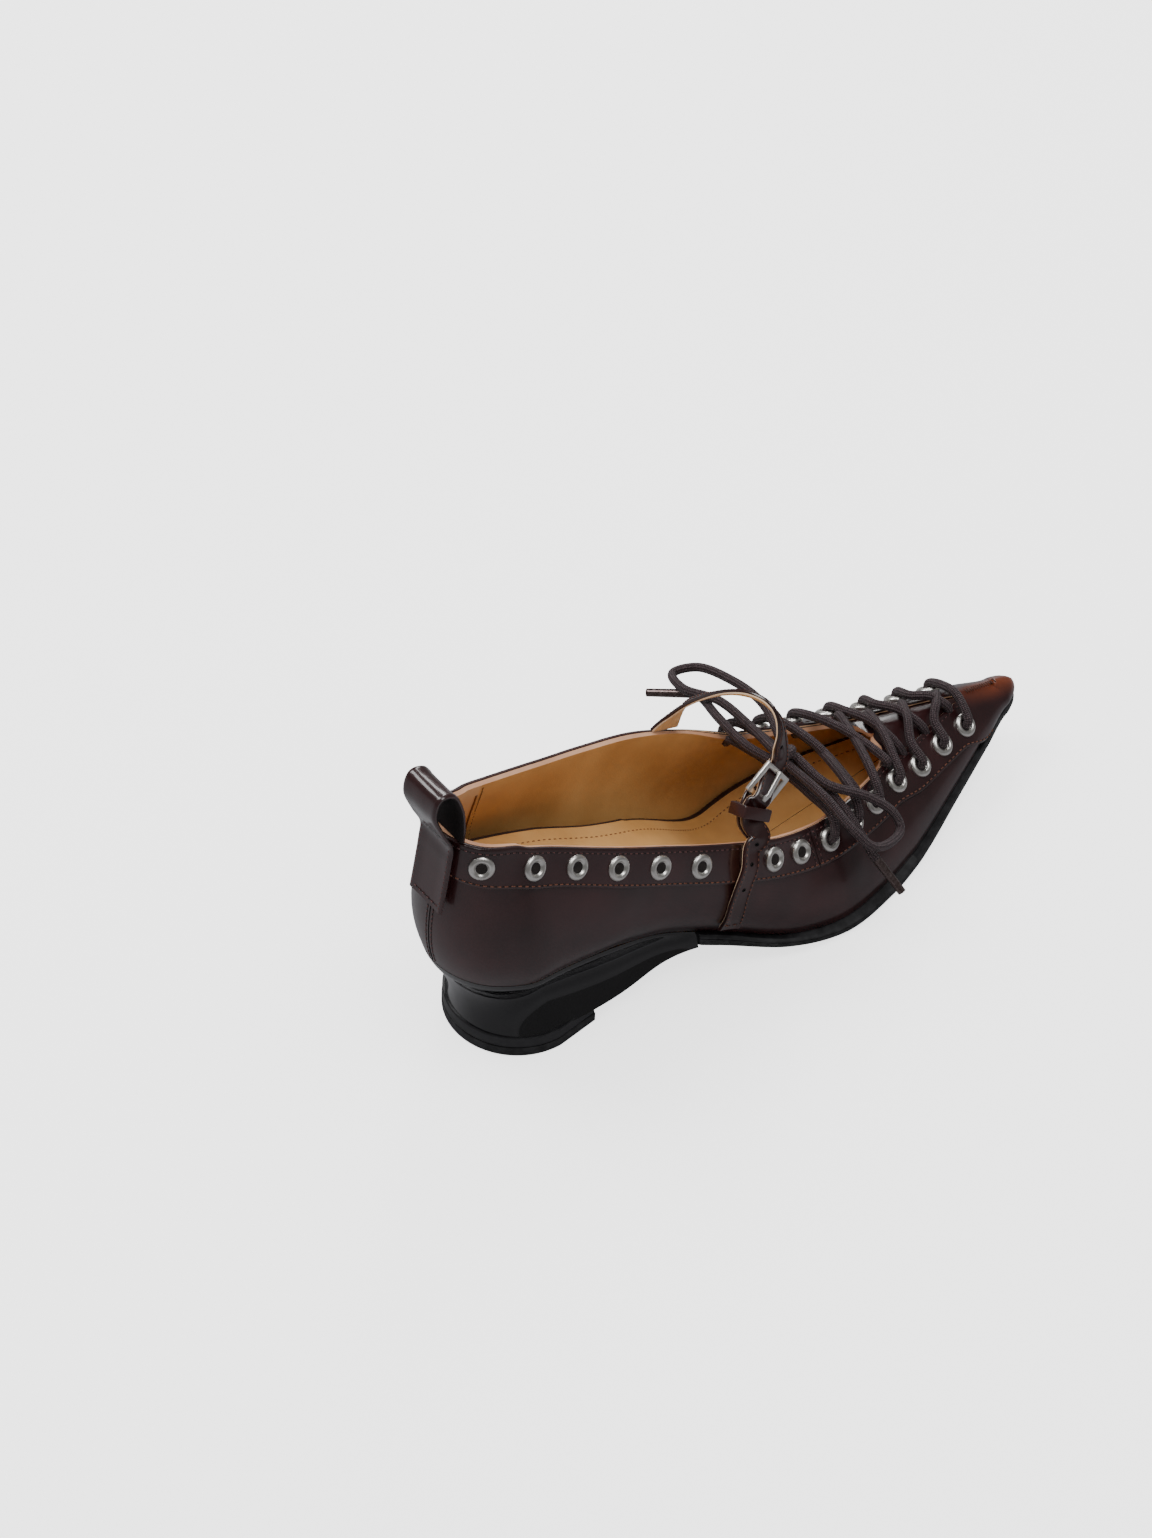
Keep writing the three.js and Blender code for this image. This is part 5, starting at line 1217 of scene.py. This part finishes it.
def layered(name, layers):
    """A solid of stacked rings of (outer, inner) pairs, closed by a lid below and above."""
    rings = [[pair[0] for pair in layer] + [pair[1] for pair in layer[-2::-1]] for layer in layers]
    verts = [p for ring in rings for p in ring]
    n = len(rings[0])
    faces = []
    for k in range(len(rings) - 1):
        for i in range(n):
            m = (i + 1) % n
            faces.append((k * n + i, k * n + m, (k + 1) * n + m, (k + 1) * n + i))
    for base, up in ((0, False), ((len(rings) - 1) * n, True)):
        rows = len(layers[0])
        for i in range(rows - 1):
            quad = [base + i, base + i + 1]
            far = [base + (2 * rows - 2 - (i + 1)), base + (2 * rows - 2 - i)]
            face = []
            for v in (*quad, *far):
                v = base + (v - base) % n
                if v not in face:
                    face.append(v)
            if len(face) >= 3:
                faces.append(tuple(face if up else face[::-1]))
    return put(name, verts, faces), rings


sole_layers = [[(sole_point(OUTER, row, out, up), sole_point(INNER, row, out, up)) for row in sole_rows]
    for out, up in SOLE_EDGE]
outsole, rings = layered("rubber_outsole", sole_layers)
# Along the edge in u, round the side in v, both in millimetres, for the tread.
mid = np.array(rings[4])
run = np.concatenate([[0], np.cumsum(np.linalg.norm(np.diff(mid, axis=0), axis=1))])
heights = np.array([0, 2.2, 3.6, 4.8, 5.6, 6.4, 7.2, 7.6, 7.8, 8.1, 8.8, 9.6])
uvs = [(run[i], heights[k]) for k in range(len(rings)) for i in range(len(mid))]
layer = outsole.data.uv_layers.new(name="edge_run")
for poly in outsole.data.polygons:
    for corner, v in zip(poly.loop_indices, poly.vertices):
        layer.data[corner].uv = uvs[v]
weld(outsole)
face_outwards(outsole)
sharp_over(outsole, 32)
rubber, nodes, links, shader = new_material("black_rubber")
place = nodes.new("ShaderNodeTexCoord")
dust = nodes.new("ShaderNodeTexNoise")
dust.inputs["Scale"].default_value = 300
dust.inputs["Detail"].default_value = 6
links.new(place.outputs["Object"], dust.inputs["Vector"])
links.new(ramp_between(nodes, links, dust.outputs["Fac"], (0.007, 0.007, 0.008), (0.022, 0.022, 0.024),
    0.35, 0.72), shader.inputs["Base Color"])
shader.inputs["Roughness"].default_value = 0.48
uv = nodes.new("ShaderNodeUVMap")
uv.uv_map = "edge_run"
split = nodes.new("ShaderNodeSeparateXYZ")
links.new(uv.outputs["UV"], split.inputs[0])


def bars(slope, pitch):
    """1 along slanting bars, 0 between them."""
    lean = number(nodes, links, "ADD", split.outputs[0],
        number(nodes, links, "MULTIPLY", split.outputs[1], slope))
    wave = number(nodes, links, "SINE", number(nodes, links, "MULTIPLY", lean, math.tau / pitch))
    return span_mask(nodes, links, number(nodes, links, "ABSOLUTE", wave), 0.32, 0.12)


cross_bars = number(nodes, links, "MAXIMUM", bars(1.5, 15.0), bars(-1.5, 15.0))
low_side = number(nodes, links, "MULTIPLY", span_mask(nodes, links, split.outputs[1], 6.9, 6.5), cross_bars)
teeth = number(nodes, links, "SINE", number(nodes, links, "MULTIPLY", split.outputs[0], math.tau / 1.7))
toe_end = span_mask(nodes, links, object_axis(nodes, links, "X"), 0.165, 0.18)
low_teeth = number(nodes, links, "MULTIPLY", span_mask(nodes, links, split.outputs[1], 3.9, 3.4),
    number(nodes, links, "MULTIPLY", teeth, toe_end))
relief = number(nodes, links, "ADD", number(nodes, links, "SUBTRACT",
    number(nodes, links, "MULTIPLY", dust.outputs["Fac"], 0.15), low_side),
    number(nodes, links, "MULTIPLY", low_teeth, 0.6))
bump = nodes.new("ShaderNodeBump")
bump.inputs["Strength"].default_value = 1.0
bump.inputs["Distance"].default_value = 0.0006
links.new(relief, bump.inputs["Height"])
links.new(bump.outputs["Normal"], shader.inputs["Normal"])
outsole.data.materials.append(rubber)
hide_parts("outsole")

# Heel: a moulded block in mirror black. Its flanks are scooped out and run forward into
# the waist, and it stands on an upright rim with a groove above the rubber top piece.
HEEL_RADIUS, HEEL_BREAST, HEEL_RIM, TOP_LIFT, FLANK_SCOOP = 26.0, 17.0, 8.5, 4.0, 0.34
heel_end = row_at(OUTER, SOLE_BACK - BACK_OVERHANG - 0.3, 0)
heel_rows = [round(k / 16, 4) for k in range(16 * LAST_ROW) if k / 16 < heel_end - 0.02] + [heel_end]
end_x = last_points(OUTER, heel_end, 0)[0][0]
cup_x = 0.116 * SHOE_LENGTH - BACK_OVERHANG


def heel_point(side, row, f):
    top = last_points(side, row, 0)[0].copy()
    turn = math.radians(row_values(HALF[side], row)[1])
    back = turn < -1e-9 or row <= 3
    along = 0 if back else min(1, (top[0] - cup_x) / (end_x - cup_x))
    base_x = HEEL_RADIUS * math.sin(turn) if back else along * end_x
    wider = (abs(top[1]) + WELT - HEEL_RADIUS) * ease(along)
    half = HEEL_RADIUS * math.cos(turn) if back else HEEL_RADIUS + wider
    rise = ease((base_x - HEEL_BREAST + 6) / (end_x - HEEL_BREAST + 6))
    low = HEEL_RIM + (min(14.5, underside(end_x)) - HEEL_RIM) * rise
    top[2] -= 0.3
    base = np.array((base_x, side * half, low))
    p = base * (1 - f) + top * f
    hollow = 0.25 + 0.75 * math.cos(turn) ** 2 if back else 1
    scoop = 1 - FLANK_SCOOP * hollow * (1 - along) * math.sin(math.pi * min(f * 1.1, 1))
    fan = f * cup_x if back else (1 - f) * base_x + f * top[0]
    return np.array((fan + (p[0] - fan) * scoop, p[1] * scoop, p[2]))


heel_shares = np.concatenate([[0, 0.03], np.linspace(0.08, 1, 26)])
heel_layers = [[(heel_point(INNER, row, f), heel_point(OUTER, row, f)) for row in heel_rows[::-1]]
    for f in heel_shares]
heel_block, _ = layered("heel_block", heel_layers)


def round_base(name, radius, breast, low, high, groove=None):
    """A D-shaped plate: round behind, tapering to a flat front face; edges a little rounded."""
    outline = []
    for k in range(61):
        a = math.pi / 2 + math.pi * k / 60
        outline.append((radius * math.cos(a), radius * math.sin(a)))
    front = [(breast * s, -(radius - 2.2 * s)) for s in np.linspace(0.1, 0.98, 9)]
    outline = outline + front + [(breast, -(radius - 2.6)), (breast, radius - 2.6)] + [(x, -y) for x,
        y in front[::-1]]
    steps = [(0.35, low), (0.0, low + 0.35), (0.0, high - 0.35), (0.35, high)]
    if groove:
        steps = [(0.35, low), (0.0, low + 0.35), (0.0, groove - 0.25), (0.45, groove), (0.0, groove + 0.25),
            (0.0, high - 0.35), (0.35, high)]
    verts, n = [], len(outline)
    for inset, z in steps:
        for x, y in outline:
            far = math.hypot(x, y)
            verts.append((x * (1 - inset / far), y * (1 - inset / far), z))
    faces = [(k * n + i, k * n + (i + 1) % n, (k + 1) * n + (i + 1) % n, (k + 1) * n + i)
        for k in range(len(steps) - 1) for i in range(n)]
    faces += [tuple(range(n - 1, -1, -1)), tuple((len(steps) - 1) * n + i for i in range(n))]
    return put(name, verts, faces)


heel_rim = round_base("heel_rim", HEEL_RADIUS + 0.8, HEEL_BREAST, TOP_LIFT + 0.3, HEEL_RIM + 0.6)
top_piece = round_base("heel_top_piece", HEEL_RADIUS + 1, HEEL_BREAST + 0.4, 0, TOP_LIFT, groove=None)
mirror_black, nodes, links, shader = new_material("mirror_black")
place = nodes.new("ShaderNodeTexCoord")
peel = nodes.new("ShaderNodeTexNoise")
peel.inputs["Scale"].default_value = 60
links.new(place.outputs["Object"], peel.inputs["Vector"])
links.new(ramp_between(nodes, links, peel.outputs["Fac"], (0.0025, 0.0025, 0.003),
    (0.006, 0.0055, 0.006)), shader.inputs["Base Color"])
links.new(number(nodes, links, "ADD", number(nodes, links, "MULTIPLY", peel.outputs["Fac"], 0.05), 0.02),
    shader.inputs["Roughness"])
shader.inputs["Coat Weight"].default_value = 0.6
shader.inputs["Coat Roughness"].default_value = 0.02
satin_black, nodes, links, shader = new_material("satin_black_rim")
place = nodes.new("ShaderNodeTexCoord")
rub = nodes.new("ShaderNodeTexNoise")
rub.inputs["Scale"].default_value = 400
links.new(place.outputs["Object"], rub.inputs["Vector"])
links.new(ramp_between(nodes, links, rub.outputs["Fac"], (0.008, 0.008, 0.009), (0.02, 0.02, 0.022)),
    shader.inputs["Base Color"])
links.new(number(nodes, links, "ADD", number(nodes, links, "MULTIPLY", rub.outputs["Fac"], 0.2), 0.25),
    shader.inputs["Roughness"])
for piece, material, slot_name in ((heel_block, mirror_black, "gloss_heel"),
    (heel_rim, satin_black, "gloss_heel"), (top_piece, rubber, "sole_rubber")):
    weld(piece)
    face_outwards(piece)
    sharp_over(piece, 35)
    piece.data.materials.append(material)
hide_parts("heel")
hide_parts("top_lift")

# Strap: burgundy leather lined in tan, raised and stitched along both edges, sewn in at the
# inner collar, arched over the instep, through buckle and keeper, and down the outer quarter.
STRAP_WIDTH, STRAP_THICKNESS, TAB_THICKNESS = 7.8, 1.9, 1.4
BUCKLE_LENGTH, BUCKLE_BAR, BUCKLE_THICKNESS = 13.0, 1.9, 1.8
STRAP_STEPS, KEEPER_REACH = 200, 2.9
PUNCHED_AT = (0.20, 0.285, 0.37, 0.45, 0.75, 0.81, 0.87)  # shares of the strap's length
STITCHED_FROM_TO = ((8, 108), (142, 197))  # steps before the buckle and after the keeper
# across, ahead, rise, and where the outer face looks
ARCH = ((0.04, 0.28, 0.18, -0.19, 0.93, 0.31), (0.17, 0.4, 0.39, -0.05, 0.80, 0.59),
    (0.39, 0.5, 0.65, 0.22, 0.70, 0.68),
        (0.6, 0.58, 0.84, 0.51, 0.50, 0.71), (0.8, 0.66, 0.95, 0.75, 0.20, 0.63),
        (0.94, 0.73, 0.95, 0.88, -0.15, 0.45),
        (1.01, 0.8, 0.84, 0.74, -0.63, 0.25), (1.02, 0.89, 0.6, 0.30, -0.93, 0.23))


def unit(v):
    v = np.asarray(v, float)
    return v / np.linalg.norm(v)


def frame_on(middle, down, facing):
    along = unit(down)
    side = unit(np.cross(along, facing))
    return {"middle": np.asarray(middle, float), "down": along, "across": side,
        "out": unit(np.cross(side, along))}


def within(place, far, lift):
    return place["middle"] + place["down"] * far + place["out"] * lift


tab_row = row_at(OUTER, 120 - BACK_OVERHANG, 1)
tab_rim = last_points(OUTER, tab_row, 1)[0]
buckle = frame_on(tab_rim + (11, 5, 19), (-0.838, -0.089, -0.539), (-0.075, -0.958, 0.275))
bar_out = BUCKLE_THICKNESS / 2 + 0.3
near_bar = (BUCKLE_LENGTH - BUCKLE_BAR) / 2
keeper_down = unit((-0.55, -0.35, -0.76))
bend = unit(buckle["down"] + keeper_down)
keeper = frame_on(within(buckle, near_bar + 1.6, 0.5) + bend * 4.6, keeper_down, (-0.075, -0.958, 0.275))
ON_BAND = BAND_LIFT + 0.3
OVER_TAB = ON_BAND + TAB_THICKNESS + 0.75
RIM_OUT = np.array((0, -0.9, 0.4))


def down_quarter(reach, slant, count, lifts):
    places = []
    for f in np.linspace(0, 1, count + 1):
        below = 1.5 + f * (reach - 1.5)
        row = tab_row - slant * (0.3 + 0.7 * (1 - (1 - f) ** 2.2))
        level = level_below(OUTER, row, 1, below)
        places.append((skin(OUTER, row, level, lifts(below))[0], last_normals(OUTER, row, level)[0]))
    return places


def sections_along(points, outs, count, width):
    """Sections of a strip: middle of its inner face, across, out and width."""
    made = []
    for k in range(count + 1):
        f = k / count
        forward = unit(smooth_path(points, min(f + 1e-4, 1)) - smooth_path(points, max(f - 1e-4, 0)))
        side = unit(np.cross(smooth_path(outs, f), forward))
        made.append((smooth_path(points, f), side, unit(np.cross(forward, side)), width(f)))
    return made


def strip(name, sections, thickness):
    """A leather strip with rounded, slightly raised edges; its underside is another material."""
    # share of the half width, height as a share of the thickness, kind of the face that follows
    profile = [
        (-0.93, 0.04, 1), (-0.5, 0.0, 1), (0.5, 0.0, 1), (0.93, 0.04, 2),
        (1.0, 0.3, 0), (1.0, 0.75, 0), (0.95, 0.97, 0), (0.84, 1.0, 0), (0.70, 0.86, 0), (0.35, 0.83, 0),
        (-0.35, 0.83, 0), (-0.70, 0.86, 0), (-0.84, 1.0, 0), (-0.95, 0.97, 0), (-1.0, 0.75, 0), (-1.0, 0.3, 2)]
    n = len(profile)
    verts, faces, kinds = [], [], []
    for middle, side, out, width in sections:
        for across_share, height, _ in profile:
            verts.append(middle + side * (across_share * width / 2) + out * (height * thickness))
    for k in range(len(sections) - 1):
        for i in range(n):
            m = (i + 1) % n
            faces.append((k * n + i, k * n + m, (k + 1) * n + m, (k + 1) * n + i))
            kinds.append(profile[i][2])
    faces.append(tuple(range(n - 1, -1, -1)))
    faces.append(tuple((len(sections) - 1) * n + i for i in range(n)))
    kinds += [0, 0]
    piece = put(name, verts, faces)
    piece.data.polygons.foreach_set("material_index", kinds)
    face_outwards(piece)
    sharp_over(piece, 50)
    return piece


root_row = row_at(INNER, 126 - BACK_OVERHANG, 1)
root = skin(INNER, root_row, 1, -0.2)[0] + (0, 0, 0.9)
under = -bar_out - STRAP_THICKNESS - 0.3
entry = within(buckle, -near_bar - 3, under)
span = entry - root
arch = [root + (span[0] * a[1], span[1] * a[0], 42 * a[2]) for a in ARCH]
tail = down_quarter(39, 0.46, 5, lambda below: OVER_TAB - ease((below - 11) / 3) * (OVER_TAB - ON_BAND)
                    - ease((below - 17) / 4) * (ON_BAND - SKIN_GAP))
strap_points = [root, *arch, entry, within(buckle, -near_bar, under),
    within(buckle, 0, (under + bar_out) / 2 - 0.2),
                within(buckle, near_bar, bar_out + 0.6), within(buckle, near_bar + 1.6, bar_out + 0.3),
                within(keeper, -KEEPER_REACH, 0), within(keeper, KEEPER_REACH, 0.2),
                tab_rim + RIM_OUT * (OVER_TAB + 0.6) + (1, 0, 3.5), *[p for p, _ in tail]]
strap_outs = [(-0.05, 1, 0.1), *[a[3:] for a in ARCH], *[buckle["out"]] * 5, keeper["out"], keeper["out"],
    RIM_OUT, *[n for _, n in tail]]
strap_outs = [np.asarray(o, float) for o in strap_outs]
strap_sections = sections_along(strap_points, strap_outs, STRAP_STEPS,
    lambda f: STRAP_WIDTH * (1 + 0.9 * (1 - ease(f / 0.15)) ** 2))
strap = strip("instep_strap", strap_sections, STRAP_THICKNESS)
tab_low = down_quarter(9, 0.3 * 0.46, 2, lambda below: ON_BAND)
tab_points = [within(buckle, near_bar - 2.4, -bar_out - TAB_THICKNESS - 0.6),
    within(buckle, near_bar + 0.6, -bar_out - TAB_THICKNESS - 0.6),
              within(keeper, -KEEPER_REACH, -0.6 - TAB_THICKNESS),
              within(keeper, KEEPER_REACH, -0.6 - TAB_THICKNESS),
              tab_rim + RIM_OUT * ON_BAND + (1, 0, 3.5), *[p for p, _ in tab_low]]
tab_outs = [buckle["out"], buckle["out"], keeper["out"], keeper["out"], RIM_OUT, *[n for _, n in tab_low]]
tab = strip("buckle_tab_strip", sections_along(tab_points, tab_outs, 60, lambda f: STRAP_WIDTH),
    TAB_THICKNESS)
strap_calf, nodes, links, shader, colour, _ = leather("burgundy_strap_leather", (0.013, 0.0028, 0.0028),
    (0.030, 0.0068, 0.0062), coat=0.7, rough=(0.22, 0.36), coat_rough=0.08)
tan_side, nodes, links, shader, colour, _ = leather("tan_strap_lining", (0.56, 0.31, 0.13),
    (0.72, 0.44, 0.21), 1300.0, 0.3, 0.0, (0.45, 0.6), 0.4)
pipe_edge, nodes, links, shader, colour, _ = leather("strap_cut_edge", (0.62, 0.42, 0.26),
    (0.80, 0.60, 0.42), 900.0, 0.5, 0.0, (0.5, 0.7), 0.4)
for piece, node in ((strap, "strap"), (tab, "buckle_tab")):
    for material in (strap_calf, tan_side, pipe_edge):
        piece.data.materials.append(material)
    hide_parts(node)
lines = []
for share in (-0.78, 0.78):
    for low, highest in STITCHED_FROM_TO:
        part = strap_sections[low:highest]
        lines.append(([m + side * (share * w / 2) + out * (STRAP_THICKNESS * 0.93) for m, side, out,
            w in part], [out for _, _, out, _ in part]))
end = strap_sections[STRAP_STEPS - 4]
lines.append(([end[0] + end[1] * (s * end[3] / 2) + end[2] * STRAP_THICKNESS * 0.86
    for s in np.linspace(-0.75, 0.75, 6)], [end[2]] * 6))
strap_stitches = sew("strap_stitches", lines, pitch=2.0, stitch=1.35, radius=0.17)
strap_stitches.data.materials.append(thread_brown)
strap_stitches.data.materials.append(hole_shade_and_joint)
# Punched holes: a near-black disc and ring on the strap's face at each hole, painted shade of the opening.
verts, faces = [], []
for far in PUNCHED_AT:
    middle, side, out, _ = strap_sections[int(far * STRAP_STEPS)]
    forward = np.cross(side, out)
    base = len(verts)
    for r, h in ((0.62, 0.845), (0.72, 0.865), (0.86, 0.84)):
        for a in range(16):
            turn = 2 * math.pi * a / 16
            verts.append(middle + out * (STRAP_THICKNESS * h + (0.03
                if r < 0.8 else 0)) + r * (math.cos(turn) * side + math.sin(turn) * forward))
    for k in range(2):
        for a in range(16):
            faces.append((base + k * 16 + a, base + k * 16 + (a + 1) % 16,
                base + (k + 1) * 16 + (a + 1) % 16, base + (k + 1) * 16 + a))
    faces.append(tuple(base + a for a in range(16)))
holes = put("strap_punched_holes", verts, faces)
holes.data.materials.append(hole_shade_and_joint)

# Keeper, buckle and prong: the exact forms of the frame, their edges softly rounded.
def softened(node, name, bevel):
    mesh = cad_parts[node].data
    piece = put(name, [np.array(v.co) / MM for v in mesh.vertices],
        [tuple(p.vertices) for p in mesh.polygons])
    weld(piece)
    select_only(piece)
    bpy.ops.object.mode_set(mode="EDIT")
    bpy.ops.mesh.select_all(action="SELECT")
    bpy.ops.mesh.dissolve_limited(angle_limit=math.radians(1))
    bpy.ops.object.mode_set(mode="OBJECT")
    edge = piece.modifiers.new("edge", "BEVEL")
    edge.width, edge.segments, edge.limit_method, edge.angle_limit = bevel * MM, 3, "ANGLE", math.radians(30)
    select_only(piece)
    bpy.ops.object.modifier_apply(modifier="edge")
    sharp_over(piece, 40)
    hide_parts(node)
    return piece


keeper_loop = softened("keeper", "keeper_loop", 0.55)
keeper_loop.data.materials.append(strap_calf)
for node, bevel in (("buckle_frame", 0.45), ("buckle_prong", 0.3)):
    piece = softened(node, node + "_nickel", bevel)
    piece.data.materials.append(nickel)

# Pull loop: a wide folded strap of band leather, sewn flat over the back seam, standing up
# behind the collar and coming down inside its edge. Its inner side is dark suede.
loop_rim = last_points(OUTER, 0, 1)[0]
loop_lift = BAND_LIFT + 0.3
sewn = [skin(OUTER, 0, min(level_below(OUTER, 0, 1, below), 1), loop_lift)[0] for below in (30, 18, 8, 0)]
back_lean = -loop_lift - 7
free = [loop_rim + (x, 0, z * 26) for x, z in ((back_lean * 0.62, 0.34), (back_lean, 0.74),
    (back_lean * 0.78, 0.97), (back_lean * 0.3, 0.93),
                                                (WALL * 0.45, 0.62), (WALL * 0.9, 0.3),
                                                (WALL * 0.7, 0.012))]
loop_outs = [np.array((x, 0.0, z)) for x, z in ((-1, 0), (-1, 0), (-1, 0), (-1, -0.1), (-0.9, -0.4),
    (-1, 0.1), (-0.7, 0.9), (0.6, 1), (1, 0.1), (1, 0), (1, 0))]
loop_sections = sections_along([*sewn, *free], loop_outs, 110, lambda f: 18.0)
pull_loop = strip("pull_loop_strap", loop_sections, 1.6)
suede, nodes, links, shader, colour, _ = leather("dark_suede_back", (0.006, 0.003, 0.003),
    (0.018, 0.009, 0.009), 700.0, 0.6, 0.0, (0.8, 0.95), 0.4)
for material in (band_calf, suede, suede):
    pull_loop.data.materials.append(material)
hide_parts("pull_loop")
sewn_part = loop_sections[1:34]
loop_lines = [([m + side * (share * w / 2) + out * 1.5 for m, side, out, w in sewn_part],
    [out for _, _, out, _ in sewn_part]) for share in (-0.86, 0.86)]
first = loop_sections[2]
loop_lines.append(([first[0] + first[1] * (s * 9) + first[2] * 1.42 for s in np.linspace(-0.8, 0.8, 9)],
    [first[2]] * 9))
loop_stitches = sew("pull_loop_stitches", loop_lines, pitch=2.3, stitch=1.5, radius=0.2)
loop_stitches.data.materials.append(thread_dark)
loop_stitches.data.materials.append(hole_shade_and_joint)

# Studio: a plain white floor, a white surround and three soft lamps. The surround is dim to
# reflections, as in a studio with dark walls, so that the polish shows streaks of light.
bpy.ops.object.select_all(action="DESELECT")
bpy.ops.mesh.primitive_plane_add(size=6, location=(0.1, 0, -0.0002))
floor = bpy.context.active_object
floor.name = "studio_floor"
floor_paint, nodes, links, shader = new_material("white_floor")
shader.inputs["Base Color"].default_value = (0.9, 0.9, 0.9, 1)
shader.inputs["Roughness"].default_value = 0.7
# To the camera the paper is lit white; in the polish it stays a soft grey.
seen = nodes.new("ShaderNodeLightPath")
links.new(number(nodes, links, "MULTIPLY", seen.outputs["Is Camera Ray"], 1.9),
    shader.inputs["Emission Strength"])
shader.inputs["Emission Color"].default_value = (1, 1, 1, 1)
paper = ramp_between(nodes, links, seen.outputs["Is Glossy Ray"], (0.9, 0.9, 0.9), (0.20, 0.20, 0.21), 0.0,
    1.0)
links.new(paper, shader.inputs["Base Color"])
floor.data.materials.append(floor_paint)
world = bpy.data.worlds.new("studio_surround")
bpy.context.scene.world = world
world.use_nodes = True
tree = world.node_tree
sky = next(n for n in tree.nodes if n.type == "BACKGROUND")
rays = tree.nodes.new("ShaderNodeLightPath")
levels = tree.nodes.new("ShaderNodeMix")
levels.data_type = "FLOAT"
tree.links.new(rays.outputs["Is Glossy Ray"], levels.inputs[0])
levels.inputs[2].default_value = 0.8
levels.inputs[3].default_value = 0.14
tree.links.new(levels.outputs[0], sky.inputs["Strength"])
sky.inputs["Color"].default_value = (1, 1, 1, 1)


def lamp(name, place, target, size, power, tall=None):
    data = bpy.data.lights.new(name, "AREA")
    data.shape = "RECTANGLE"
    data.size, data.size_y, data.energy = size, tall or size, power
    light = bpy.data.objects.new(name, data)
    bpy.context.scene.collection.objects.link(light)
    light.location = place
    light.rotation_euler = (Vector(target) - Vector(place)).to_track_quat("-Z", "Y").to_euler()


lamp("key_softbox", (-0.5, 0.9, 1.5), (0.08, 0, 0.04), 0.7, 16, 0.9)
lamp("front_strip", (0.9, 1.0, 0.9), (0.12, 0, 0.03), 0.25, 7, 1.2)
lamp("top_softbox", (0.2, -0.4, 1.9), (0.08, 0, 0.03), 0.9, 12)
